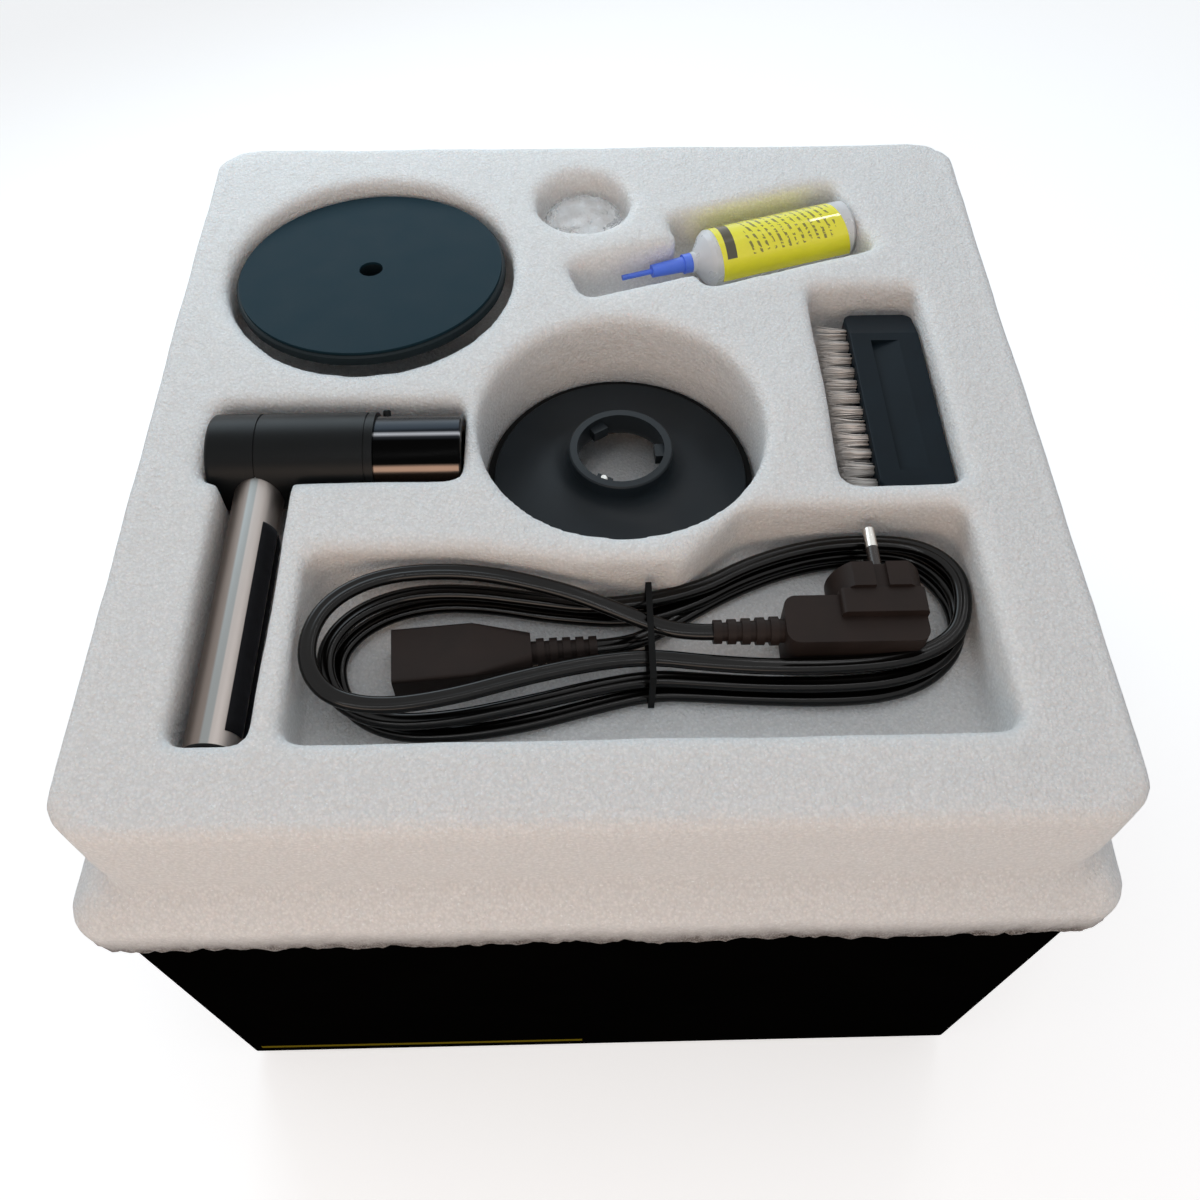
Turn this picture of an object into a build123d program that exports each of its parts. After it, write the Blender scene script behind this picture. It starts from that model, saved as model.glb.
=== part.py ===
from build123d import *
import math
import os

os.makedirs("parts", exist_ok=True)

# A record cleaning machine as it is unboxed: the machine below, its foam cap on top, and in the cap's
# pits the platter, clamp, suction arm, brush, bottle, small parts bag and mains cord.
# Millimetres. X right, Y back, Z up. The origin is the centre of the footprint, on the floor.

# ---------------------------------------------------------------- shared clearances
run_gap = 0.05          # radial gap of a shaft or a plug in its hole
fit_gap = 0.3           # gap between parts that drop into or past each other
soft_gap = 0.3          # gap between a loose part and the foam under it

# ---------------------------------------------------------------- machine case
case_w = 380.0
case_h = 223.0          # bottom plate's underside to rim
case_wall = 5.0
case_corner_r = 3.0
inner_corner_r = 2.0
foot_h = 10.0
foot_r = 14.0
foot_edge = 1.0
foot_inset = 35.0
bottom_t = 2.0
top_plate_t = 3.0
top_plate_drop = 3.0    # rim to top plate's surface
ledge_w = 9.0
ledge_t = 3.0
post_w = 14.0
post_gap = 1.0          # post to inner wall
post_r = 4.0
screw_r = 2.0
screw_head_r = 4.0
screw_head_t = 2.0
screw_len = 14.0
screw_hole_gap = 0.15

inner_w = case_w - 2 * case_wall
bottom_top_z = foot_h + bottom_t
rim_z = foot_h + case_h
plate_top_z = rim_z - top_plate_drop
plate_bottom_z = plate_top_z - top_plate_t
post_xy = inner_w / 2 - post_gap - post_w / 2
inner_back_y = inner_w / 2
outer_back_y = case_w / 2

# ---------------------------------------------------------------- spindle drive
spindle_x = 20.0
spindle_y = -20.0
platter_hole_r = 5.5
spindle_stub_r = platter_hole_r - run_gap
spindle_tip_bevel = 1.5
spindle_shaft_r = 5.0
spindle_shoulder_r = 6.5
spindle_flange_r = 22.0
spindle_flange_t = 5.0
spindle_lift = 1.0      # top plate to the underside of the spindle flange
spindle_stub_h = 11.0
spindle_bottom_drop = 81.0
spindle_plate_hole_r = 9.0
bearing_or = 11.0
bearing_t = 6.0
bearing_tube_r = 17.0
bearing_tube_len = 56.0
bearing_step_r = 9.0
chassis_t = 6.0
chassis_margin = 26.0
chassis_half_d = 30.0
pulley_reach = 70.0     # spindle axis to motor axis
spindle_pulley_r = 25.0
motor_pulley_r = 10.0
pulley_t = 10.0
pulley_drop = 5.0       # lower bearing to the spindle pulley's rim
pulley_hub_r = 12.0
pulley_hub_gap = 0.3
belt_gap = 0.3
belt_t = 2.0
belt_w = 8.0
motor_r = 18.5
motor_shaft_r = 3.0
motor_shaft_depth = 11.0

motor_x = spindle_x + pulley_reach
chassis_bottom_z = plate_bottom_z - chassis_t
bearing_low_z = plate_bottom_z - chassis_t - bearing_tube_len
pulley_top_z = bearing_low_z - pulley_drop
pulley_low_z = pulley_top_z - pulley_t
belt_low_z = pulley_low_z + (pulley_t - belt_w) / 2
spindle_flange_z = plate_top_z + spindle_lift

# ---------------------------------------------------------------- suction arm socket and waste tank
socket_x = -115.0
socket_y = 115.0
arm_riser_r = 18.5
socket_bore_r = arm_riser_r + run_gap
socket_tube_r = 22.0
socket_flange_r = 28.0
socket_flange_t = 4.0
socket_depth = 45.0
socket_floor_t = 4.0
spigot_r = 10.0
spigot_bore_r = 8.0
socket_spigot_len = 18.0
hose_wall = 3.0

tank_x0 = -160.0
tank_y0 = 30.0
tank_w = 100.0
tank_d = 130.0
tank_head_room = 49.0   # tank lid to the underside of the arm socket
tank_wall = 3.0
tank_corner_r = 8.0
lid_t = 4.0
lid_rim_h = 6.0
lid_rim_w = 2.0
lid_spigot_len = 18.0
transfer_x = -80.0      # tank lid's outlet to the vacuum
transfer_y = 60.0

tank_cx = tank_x0 + tank_w / 2
tank_cy = tank_y0 + tank_d / 2
socket_bottom_z = plate_top_z + socket_flange_t - socket_depth - socket_floor_t
lid_top_z = socket_bottom_z - tank_head_room
tank_top_z = lid_top_z - lid_t
tank_h = tank_top_z - bottom_top_z

# ---------------------------------------------------------------- vacuum
vac_x = 105.0
vac_y = 100.0
vac_r = 60.0
vac_h = 100.0
vac_wall = 3.0
vac_floor_t = 4.0
vac_lid_t = 4.0
vac_spigot_len = 18.0
vac_boss_r = 8.0
vac_boss_h = 14.0
rotor_shaft_r = 4.0
rotor_r = 52.0
rotor_disc_t = 2.0
rotor_disc_z = 50.0     # above the bottom plate
rotor_blades = 9
rotor_blade_h = 14.0
rotor_blade_t = 2.0
rotor_blade_turn = 25.0
rotor_blade_len = 32.0
rotor_core_r = 30.0
rotor_core_h = 28.0
rotor_end_gap = 0.5
vac_port_w = 34.0
vac_port_h = 22.0
transfer_hose_drop = 20.0   # top plate's underside to the hose's level run
transfer_hose_r = 30.0

vac_top_z = bottom_top_z + vac_h
vac_lid_top_z = vac_top_z + vac_lid_t
transfer_hose_z = plate_bottom_z - transfer_hose_drop

exhaust_slots = 9
exhaust_pitch = 7.0
exhaust_slot_w = 3.0
exhaust_slot_h = 30.0
exhaust_z = 70.0

# ---------------------------------------------------------------- drain
drain_x = -110.0
drain_z = 26.0
drain_pipe_r = 5.0
drain_bore_r = 3.0
elbow_w = 12.0
elbow_d = 7.4
elbow_h = 14.0
barb_r = 2.0
barb_bore_r = 1.2
barb_len = 7.0
drain_hose_r = 3.5
drain_hose_bore_r = barb_r + run_gap
drain_hose_len = 112.0
clip_w = 13.0
clip_h = 7.0
clip_mouth = 5.0
clip_rises = (35.0, 90.0)
cap_h = 5.0
cap_peg_len = 8.0

drain_y = outer_back_y + elbow_d / 2
hose_low_z = drain_z + elbow_h / 2
hose_top_z = hose_low_z + drain_hose_len

# ---------------------------------------------------------------- mains inlet and power rocker
inlet_x = -8.0
inlet_z = 46.0
inlet_w = 27.0
inlet_h = 20.0
inlet_flange_w = 31.0
inlet_flange_t = 2.0
inlet_depth = 20.0
inlet_cavity_w = 24.4
inlet_cavity_h = 16.4
inlet_cavity_depth = 17.0
inlet_pin_pitch = 7.0
inlet_pin_w = 2.0
inlet_pin_h = 4.0
inlet_pin_len = 14.0
inlet_pin_rise = 2.0
rocker_rise = 25.0      # inlet centre to rocker centre
rocker_w = 20.6
rocker_h = 11.6
rocker_play = 0.4
rocker_proud = 3.2
rocker_pocket_d = 12.0
rocker_pin_r = 1.5
rocker_pin_len = 1.6
rocker_pivot_in = 2.5   # pivot behind the case's back face
rocker_arc = 1.6
rocker_heel = 4.5

inlet_flange_h = inlet_h + rocker_rise + 4.0
rocker_z = inlet_z + rocker_rise
rocker_pivot_y = outer_back_y - rocker_pivot_in

# ---------------------------------------------------------------- toggle switches
toggle_y = -145.0
toggle_xs = (-125.0, -85.0)
toggle_body_w = 28.0
toggle_body_d = 16.0
toggle_body_h = 22.0
toggle_bush_r = 6.0
toggle_bush_h = 8.0
toggle_nut_r = 9.0
toggle_nut_t = 2.5
toggle_ball_r = 3.5
toggle_ball_z = 4.0     # above the top plate
toggle_pin_r = 1.2
toggle_pin_len = 1.0     # past the ball, each side
toggle_rod_r = 1.7
toggle_tip_r = 2.4
toggle_rod_len = 13.0
toggle_mouth_r = 5.4
toggle_mouth_depth = 2.5
toggle_mouth_taper = 28.0
toggle_edge_r = 1.5

# ---------------------------------------------------------------- power board and wiring
board_x = 95.0
board_y = -130.0
board_w = 130.0
board_d = 60.0
board_t = 2.0
board_rise = 10.0
standoff_r = 3.0
standoff_inset = 6.0
transformer_w = 50.0
transformer_d = 44.0
transformer_h = 40.0
capacitor_r = 10.0
capacitor_h = 28.0
transformer_shift_x = 8.0
transformer_shift_y = -4.0
transformer_edge_r = 3.0
capacitor_spots = ((50.0, -14.0), (-38.0, -16.0))     # from the board's middle
terminal_w = 10.0
terminal_d = 16.0
terminal_h = 10.0
terminal_ys = (-14.0, 8.0)
vac_wire_x = 110.0
wire_r = 2.5
wire_bend = 12.0
wire_wide_bend = 14.0
mains_wire_level = 40.0     # level run behind the inlet
mains_wire_drop = 40.0      # run over which it comes down
motor_wire_room = 32.0      # in front of the motor
motor_wire_rise = 26.0      # above the lower bearing
wire_gap = 0.1

board_top_z = bottom_top_z + board_rise + board_t
wire_z = board_top_z + terminal_h / 2
board_left_x = board_x - board_w / 2
board_back_y = board_y + board_d / 2

# ---------------------------------------------------------------- foam cap
foam_w = 370.0
foam_d = 368.0
foam_corner_r = 15.0
pit_sheet_t = 34.0
deep_sheet_t = 14.0
foam_floor_t = 7.0
flange_over = 8.0       # how far the flange stands out past the case
flange_t = 31.0
flange_slope = 9.0      # the flange's top edge slopes off by this much
flange_corner_r = 14.0
flange_overlap = 11.0   # how far the flange hangs over the case's rim
case_pocket_gap = 0.5
window_w = 330.0
window_h = 17.0
window_corner_r = 12.0

flange_w = case_w + 2 * flange_over
flange_z = rim_z - flange_overlap
flange_top_z = flange_z + flange_t
floor_z = flange_top_z + foam_floor_t
deep_z = floor_z + deep_sheet_t
foam_top_z = deep_z + pit_sheet_t
rest_z = deep_z + soft_gap

# ---------------------------------------------------------------- pits
platter_x = -101.0
platter_y = 91.0
clamp_x = 12.0
clamp_y = -4.3
arm_left_x = -158.0
arm_y = -13.5
arm_r = 20.0
riser_bevel = 0.6
arm_pin_bevel = 0.4
arm_pit_gap = 1.0
tube_x = -138.0
slot_front_y = -151.0
slot_left_x = -151.0
slot_right_x = -122.5
slot_corner_r = 3.0
pit_corner_r = 5.0
brush_pit_x0 = 100.5
brush_pit_x1 = 150.5
brush_pit_y0 = -39.5
brush_pit_y1 = 77.0
bottle_turn = 17.2      # bottle's axis from the X axis, in plan
bottle_pit_depth = 26.0
bottle_pit_u0 = 74.0    # along the bottle's axis, from the origin
bottle_pit_u1 = 162.0
bottle_pit_v = 85.0     # across the bottle's axis, from the origin
bottle_pit_w = 52.0
nozzle_pit_u0 = 18.0
nozzle_pit_v = 81.8
nozzle_pit_w = 24.6
bag_x = -2.0
bag_y = 140.5
bag_pit_r = 23.0
bag_pit_depth = 22.0
cord_pit_x0 = -112.0
cord_pit_x1 = 148.0
cord_pit_y0 = -151.0
cord_pit_back_left = -69.0
cord_pit_back_dip = -76.0
cord_pit_back_right = -51.0
cord_pit_r = 8.0
cord_pit_step_x = 59.2

# ---------------------------------------------------------------- platter
platter_r = 62.5
platter_pit_gap = 3.5
platter_pit_r = platter_r + platter_pit_gap
platter_t = 5.0
platter_edge = 0.8
platter_tilt = 5.0      # front edge up, as it lies in its pit
platter_lean = 1.5      # right edge up
mat_t = 1.2
mat_inset = 1.5
hub_r = 24.0
hub_h = 23.5
hub_flange_t = 4.0
hub_flange_r = 40.0

# ---------------------------------------------------------------- clamp
clamp_r = 59.0
clamp_pit_gap = 1.5
clamp_pit_r = clamp_r + clamp_pit_gap
clamp_seal_h = 7.0
clamp_seal_w = 9.0
seal_bevel = 1.5
clamp_lip_t = 2.4
clamp_seat = 0.6        # how deep the cone sits in the seal
cone_r = 56.0
cone_edge_t = 2.0
cone_lip_bevel = 0.6
cone_foot_w = 14.0
cone_bend_out = 12.0     # past the collar, where the flare turns up
cone_bend_up = 3.2
cone_hollow_out = 8.0
cone_hollow_drop = 0.2
flare_low = 0.06         # slopes where the flare starts and ends
flare_high = 0.1
cone_rise = 20.0        # seal's top to the collar's top
collar_r = 22.5
collar_wall = 3.6
collar_h = 9.0
boss_w = 7.0
boss_d = 5.6
boss_h = 5.0
boss_in = 1.2
clamp_boss_angle = 243.0
clamp_screw_r = 1.7
clamp_screw_h = 1.4
clamp_screw_top = 1.0
screw_in = 0.8

# ---------------------------------------------------------------- suction arm
cap_len = 20.0
cap_edge = 2.0
arm_bore_r = 15.0
sleeve_len = 48.0
riser_len = 35.5
riser_spigot_len = 10.0
riser_bore_r = 12.0
tube_r = 10.0
tube_bore_r = 8.5
tube_end_gap = 1.5
tube_slot_w = 2.0
tube_slot_from_end = 8.0
tube_slot_len = 78.0
velvet_t = 1.6
velvet_from = 6.0
velvet_to = 52.0
tube_plug_flange = 1.0
tube_plug_len = 4.0
sleeve_groove_w = 0.8
sleeve_groove_d = 0.5
sleeve_band = 3.0       # sleeve's end to its groove
arm_pin_r = 1.6
arm_pin_h = 2.6         # how far the pin stands out of the riser
arm_pin_depth = 1.5
arm_pin_from_sleeve = 3.2
arm_pin_rise = 34.0     # the pin points back and this many degrees up

arm_z = rest_z + arm_r
tube_front_y = slot_front_y + tube_end_gap
tube_back_y = arm_y - arm_bore_r
seam_x = arm_left_x + cap_len
riser_x = seam_x + sleeve_len
arm_right_x = riser_x + riser_len

# ---------------------------------------------------------------- brush
brush_h = 25.7
brush_x0 = 117.5
brush_x1 = 149.0
brush_y0 = -37.0
brush_y1 = 69.5
brush_corner_r = 4.5
brush_edge_r = 0.8
brush_slope_len = 16.5  # the far end's top slopes down
brush_slope_drop = 4.0
recess_x0 = 126.6       # finger recess: a wall on the left, a floor that rises to the right
recess_w = 12.6
recess_y1 = 48.4
recess_len = 76.2
recess_depth = 3.2
tuft_y = 13.45
tuft_count = 12
tuft_rows = 3
tuft_r = 3.1
tuft_len = 13.5
tuft_pitch = 8.1
tuft_row_pitch = 7.0
tuft_socket = 3.0

# ---------------------------------------------------------------- bottle
bottle_r = 13.5
bottle_neckline = 2.0
bottle_shoulder_in = 1.5
bottle_v = 88.3
bottle_u0 = 88.0        # where the shoulder meets the body
bottle_u1 = 161.2
bottle_wall = 1.2
bottle_base_r = 2.0
shoulder_len = 7.0
neck_r = 5.0
neck_bore_r = 3.0
neck_len = 2.0
label_t = 0.25
label_margin = 0.6
label_half_angle = 110.0
nozzle_skirt_r = 4.6
nozzle_skirt_len = 4.0
nozzle_hub_r = 3.7
nozzle_hub_tip_r = 3.0
nozzle_hub_len = 16.0
nozzle_tip_r = 1.3
nozzle_tip_len = 15.0
nozzle_plug_len = 5.0

# ---------------------------------------------------------------- small parts bag
bag_r = 20.0
bag_h = 17.0
bag_taper = 8.0

# ---------------------------------------------------------------- cord
cord_r = 3.4
layer_h = 2 * cord_r
waist_layers = 2
loop_layers = 3
bundle_w = 15.0
hank_x0 = -105.4
hank_x1 = 146.0
hank_front_left_y = -137.5
hank_front_right_y = -130.0
hank_back_left_y = -73.0
hank_back_right_y = -56.5
notch_past = 1.5        # the plug pin's notch runs this far past the hank's back edge
loop_left_x = -52.0     # where the left loop starts to narrow
loop_right_x = 86.0
waist_x = 20.0
waist_len = 14.0
waist_front_y = -122.0
waist_back_y = -82.0
step_left_x = -20.0     # where the bundle drops from three layers to two
step_right_x = 56.0
end_r = 25.0
hole_r = 7.0
bend_r = 30.0
shoulder_r = 20.0
back_waist_r = 12.0
nip_r = 3.0
hank_turns = [
    end_r, bend_r, bend_r, bend_r, bend_r, end_r,
    end_r, shoulder_r, back_waist_r, bend_r, bend_r, end_r,
]
run_share = 0.45
tie_t = 1.2
tie_w = 2.4
tie_gap = 0.2
tie_slack = 2.0
c13_x0 = -78.5
c13_y0 = -107.0
c13_turn = 4.8
c13_block_len = 31.0
c13_block_w = 24.0
c13_block_h = 16.0
c13_grip_len = 22.0
c13_grip_end_w = 15.0
c13_grip_end_h = 13.0
c13_edge_r = 1.5
c13_hole_pitch = 7.0
c13_hole_rise = 2.0
c13_hole_w = 2.4
c13_hole_h = 4.4
c13_hole_depth = 15.0
relief_r = 5.6
relief_end_r = 4.4
relief_ribs = 5
relief_groove = 1.0
relief_slot = 0.4         # share of each rib's pitch
relief_len = 25.5
plug_x = 109.0
plug_face_y = -77.0
plug_face_r = 18.5
plug_face_t = 11.0
plug_flat = 15.0        # half height over the two flats
plug_shoulder_d = 11.0
plug_shoulder_h = 27.0
plug_back_x0 = 71.0
plug_back_x1 = 125.0
plug_back_y0 = -110.0
plug_back_h = 20.0
plug_back_r = 5.0
plug_edge_r = 2.0
plug_relief_y = -100.5
plug_relief_lift = 3.0
plug_relief_len = 27.0
plug_groove_w = 5.0
plug_groove_d = 2.0
plug_pin_r = 2.4
plug_pin_len = 19.0
plug_pin_pitch = 19.0
plug_pin_seat = 4.0
pin_room = 1.2

hank_z = rest_z
waist_top_z = hank_z + waist_layers * layer_h
over_waist_z = waist_top_z + cord_r + tie_gap
c13_z = rest_z + c13_block_h / 2
c13_way = Vector(math.cos(math.radians(c13_turn)), math.sin(math.radians(c13_turn)), 0)
c13_front = Vector(c13_x0, c13_y0, c13_z)
c13_grip = c13_front + c13_way * c13_block_len
c13_relief = c13_grip + c13_way * c13_grip_len
c13_end = c13_relief + c13_way * relief_len
plug_z = rest_z + plug_flat
plug_relief_z = plug_z + plug_relief_lift

# the cord's uncoiled ends, from the plug over the left loop and from the connector into the waist
plug_lead_points = [
    (44.0, -100.5, 292.3),
    (32.0, -100.5, 292.3),
    (18.0, -94.0, 292.1),
    (0.0, -86.0, 294.0),
    (-20.0, -80.0, 298.3),
    (-41.0, -77.5, 299.3),
    (-64.0, -78.5, 300.3),
    (-86.0, -85.5, 301.3),
    (-101.0, -98.0, 302.3),
    (-104.0, -114.0, 302.3),
    (-95.0, -127.0, 300.8),
    (-79.0, -133.0, 298.3),
    (-64.0, -134.0, 294.7),
]
connector_lead_points = [(9.0, -99.65, 282.3), (18.0, -100.1, 282.3)]


def save(builder, label):
    builder.part.label = label
    export_step(builder.part, f"parts/{label}.step")


def at_corners(half):
    return [(x, y) for x in (-half, half) for y in (-half, half)]


# ================================================================ machine: case
with BuildPart() as case_shell:
    with BuildSketch(Plane.XY.offset(bottom_top_z)):
        RectangleRounded(case_w, case_w, case_corner_r)
        RectangleRounded(inner_w, inner_w, inner_corner_r, mode=Mode.SUBTRACT)
    extrude(amount=rim_z - bottom_top_z)
    with BuildSketch(Plane.XY.offset(plate_bottom_z)):
        RectangleRounded(inner_w, inner_w, inner_corner_r)
        Rectangle(inner_w - 2 * ledge_w, inner_w - 2 * ledge_w, mode=Mode.SUBTRACT)
    extrude(amount=-ledge_t)
    with BuildSketch(Plane.XY.offset(plate_bottom_z)):
        with Locations(at_corners(post_xy)):
            Circle(screw_r + screw_hole_gap)
    extrude(amount=-ledge_t, mode=Mode.SUBTRACT)
    with BuildSketch(Plane.XZ.offset(-inner_back_y)):
        with Locations((inlet_x, inlet_z)):
            Rectangle(inlet_w + fit_gap, inlet_h + fit_gap)
        with Locations((inlet_x, rocker_z)):
            Rectangle(inlet_w + fit_gap, inlet_h + fit_gap)
        with Locations((drain_x, drain_z)):
            Circle(drain_pipe_r + run_gap)
        with Locations((vac_x, exhaust_z)):
            with GridLocations(exhaust_pitch, exhaust_slot_h, exhaust_slots, 1):
                SlotOverall(exhaust_slot_h, exhaust_slot_w, rotation=90)
    extrude(amount=-case_wall, mode=Mode.SUBTRACT)
save(case_shell, "case_shell")

with BuildPart() as bottom_plate:
    with BuildSketch(Plane.XY.offset(foot_h)):
        RectangleRounded(case_w, case_w, case_corner_r)
        with Locations(at_corners(post_xy)):
            Circle(screw_r + screw_hole_gap, mode=Mode.SUBTRACT)
    extrude(amount=bottom_t)
save(bottom_plate, "bottom_plate")

with BuildPart() as corner_posts:
    with BuildSketch(Plane.XY.offset(bottom_top_z)):
        with Locations(at_corners(post_xy)):
            RectangleRounded(post_w, post_w, post_r)
            Circle(screw_r + screw_hole_gap, mode=Mode.SUBTRACT)
    extrude(amount=plate_bottom_z - ledge_t - bottom_top_z)
save(corner_posts, "corner_posts")

with BuildPart() as top_plate:
    with BuildSketch(Plane.XY.offset(plate_bottom_z)):
        RectangleRounded(inner_w - 2 * fit_gap, inner_w - 2 * fit_gap, inner_corner_r)
        with Locations((spindle_x, spindle_y)):
            Circle(spindle_plate_hole_r, mode=Mode.SUBTRACT)
        with Locations((socket_x, socket_y)):
            Circle(socket_tube_r + fit_gap, mode=Mode.SUBTRACT)
        with Locations([(x, toggle_y) for x in toggle_xs]):
            Circle(toggle_bush_r + run_gap, mode=Mode.SUBTRACT)
        with Locations(at_corners(post_xy)):
            Circle(screw_r + screw_hole_gap, mode=Mode.SUBTRACT)
    extrude(amount=top_plate_t)
save(top_plate, "top_plate")

with BuildPart() as case_screws:
    for head_z, way in ((foot_h, 1), (plate_top_z, -1)):
        with BuildSketch(Plane.XY.offset(head_z)):
            with Locations(at_corners(post_xy)):
                Circle(screw_head_r)
        extrude(amount=-way * screw_head_t)
        with BuildSketch(Plane.XY.offset(head_z)):
            with Locations(at_corners(post_xy)):
                Circle(screw_r)
        extrude(amount=way * screw_len)
save(case_screws, "case_screws")

with BuildPart() as feet:
    with BuildSketch():
        with Locations(at_corners(case_w / 2 - foot_inset)):
            Circle(foot_r)
    extrude(amount=foot_h)
    chamfer(feet.edges().group_by(Axis.Z)[0], foot_edge)
save(feet, "feet")


# ================================================================ machine: spindle drive
def turned(points, x, y, label):
    """A part turned about a vertical axis at x, y, from its (radius, height) outline."""
    with BuildPart() as piece:
        with BuildSketch(Plane(origin=(x, y, 0), x_dir=(1, 0, 0), z_dir=(0, -1, 0))):
            with BuildLine():
                Polyline(*points, close=True)
            make_face()
        revolve(axis=Axis((x, y, 0), (0, 0, 1)))
    save(piece, label)


spindle_top_z = spindle_flange_z + spindle_flange_t + spindle_stub_h
turned(
    [
        (0, plate_bottom_z - spindle_bottom_drop),
        (spindle_shaft_r, plate_bottom_z - spindle_bottom_drop),
        (spindle_shaft_r, plate_bottom_z + run_gap),
        (spindle_shoulder_r, plate_bottom_z + run_gap),
        (spindle_shoulder_r, spindle_flange_z),
        (spindle_flange_r, spindle_flange_z),
        (spindle_flange_r, spindle_flange_z + spindle_flange_t - 1),
        (spindle_flange_r - 1, spindle_flange_z + spindle_flange_t),
        (spindle_stub_r, spindle_flange_z + spindle_flange_t),
        (spindle_stub_r, spindle_top_z - spindle_tip_bevel),
        (spindle_stub_r - spindle_tip_bevel, spindle_top_z),
        (0, spindle_top_z),
    ],
    spindle_x,
    spindle_y,
    "spindle",
)

with BuildPart() as spindle_bearings:
    for low in (bearing_low_z, plate_bottom_z - bearing_t):
        with BuildSketch(Plane.XY.offset(low)):
            with Locations((spindle_x, spindle_y)):
                Circle(bearing_or)
                Circle(spindle_shaft_r + run_gap, mode=Mode.SUBTRACT)
        extrude(amount=bearing_t)
save(spindle_bearings, "spindle_bearings")

with BuildPart() as drive_chassis:
    with BuildSketch(Plane.XY.offset(chassis_bottom_z)):
        with Locations(((spindle_x + motor_x) / 2, spindle_y)):
            RectangleRounded(pulley_reach + 2 * chassis_margin, 2 * chassis_half_d, 6)
    extrude(amount=chassis_t)
    with BuildSketch(Plane.XY.offset(bearing_low_z)):
        with Locations((spindle_x, spindle_y)):
            Circle(bearing_tube_r)
    extrude(amount=bearing_tube_len)
    with BuildSketch(Plane.XY.offset(bearing_low_z)):
        with Locations((spindle_x, spindle_y)):
            Circle(bearing_step_r)
    extrude(amount=bearing_tube_len + chassis_t, mode=Mode.SUBTRACT)
    for low in (bearing_low_z, plate_bottom_z - bearing_t):
        with BuildSketch(Plane.XY.offset(low)):
            with Locations((spindle_x, spindle_y)):
                Circle(bearing_or + run_gap)
        extrude(amount=bearing_t, mode=Mode.SUBTRACT)
save(drive_chassis, "drive_chassis")

with BuildPart() as spindle_pulley:
    with BuildSketch(Plane.XY.offset(pulley_low_z)):
        with Locations((spindle_x, spindle_y)):
            Circle(spindle_pulley_r)
    extrude(amount=pulley_t)
    with BuildSketch(Plane.XY.offset(pulley_top_z)):
        with Locations((spindle_x, spindle_y)):
            Circle(pulley_hub_r)
    extrude(amount=pulley_drop - pulley_hub_gap)
    with BuildSketch(Plane.XY.offset(pulley_low_z)):
        with Locations((spindle_x, spindle_y)):
            Circle(spindle_shaft_r + run_gap)
    extrude(amount=pulley_t + pulley_drop, mode=Mode.SUBTRACT)
save(spindle_pulley, "spindle_pulley")

with BuildPart() as motor_pulley:
    with BuildSketch(Plane.XY.offset(pulley_low_z)):
        with Locations((motor_x, spindle_y)):
            Circle(motor_pulley_r)
    extrude(amount=pulley_t)
    with BuildSketch(Plane.XY.offset(pulley_low_z)):
        with Locations((motor_x, spindle_y)):
            Circle(motor_shaft_r)
    extrude(amount=pulley_t + pulley_drop + motor_shaft_depth - 1)
save(motor_pulley, "motor_pulley")


def belt_outline(extra):
    with BuildSketch(Plane.XY.offset(belt_low_z)) as loop:
        with Locations((spindle_x, spindle_y)):
            Circle(spindle_pulley_r + extra)
        with Locations((motor_x, spindle_y)):
            Circle(motor_pulley_r + extra)
        make_hull()
    return loop.sketch


with BuildPart() as drive_belt:
    extrude(belt_outline(belt_gap + belt_t), amount=belt_w)
    extrude(belt_outline(belt_gap), amount=belt_w, mode=Mode.SUBTRACT)
save(drive_belt, "drive_belt")

with BuildPart() as gear_motor:
    with BuildSketch(Plane.XY.offset(bearing_low_z)):
        with Locations((motor_x, spindle_y)):
            Circle(motor_r)
    extrude(amount=bearing_tube_len)
    with BuildSketch(Plane.XY.offset(bearing_low_z)):
        with Locations((motor_x, spindle_y)):
            Circle(motor_shaft_r + run_gap)
    extrude(amount=motor_shaft_depth, mode=Mode.SUBTRACT)
save(gear_motor, "gear_motor")

# ================================================================ machine: suction path
socket_top_z = plate_top_z + socket_flange_t
turned(
    [
        (spigot_bore_r, socket_bottom_z - socket_spigot_len),
        (spigot_r, socket_bottom_z - socket_spigot_len),
        (spigot_r, socket_bottom_z),
        (socket_tube_r, socket_bottom_z),
        (socket_tube_r, plate_top_z),
        (socket_flange_r, plate_top_z),
        (socket_flange_r, socket_top_z - 1),
        (socket_flange_r - 1, socket_top_z),
        (socket_bore_r, socket_top_z),
        (socket_bore_r, socket_bottom_z + socket_floor_t),
        (spigot_bore_r, socket_bottom_z + socket_floor_t),
    ],
    socket_x,
    socket_y,
    "arm_socket",
)

with BuildPart() as waste_tank:
    with BuildSketch(Plane.XY.offset(bottom_top_z)):
        with Locations((tank_cx, tank_cy)):
            RectangleRounded(tank_w, tank_d, tank_corner_r)
    extrude(amount=tank_h)
    with BuildSketch(Plane.XY.offset(bottom_top_z + tank_wall)):
        with Locations((tank_cx, tank_cy)):
            RectangleRounded(tank_w - 2 * tank_wall, tank_d - 2 * tank_wall, tank_corner_r - tank_wall)
    extrude(amount=tank_h, mode=Mode.SUBTRACT)
    with BuildSketch(Plane.XZ.offset(-(tank_y0 + tank_d))):
        with Locations((drain_x, drain_z)):
            Circle(drain_pipe_r + run_gap)
    extrude(amount=tank_wall, mode=Mode.SUBTRACT)
save(waste_tank, "waste_tank")

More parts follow.
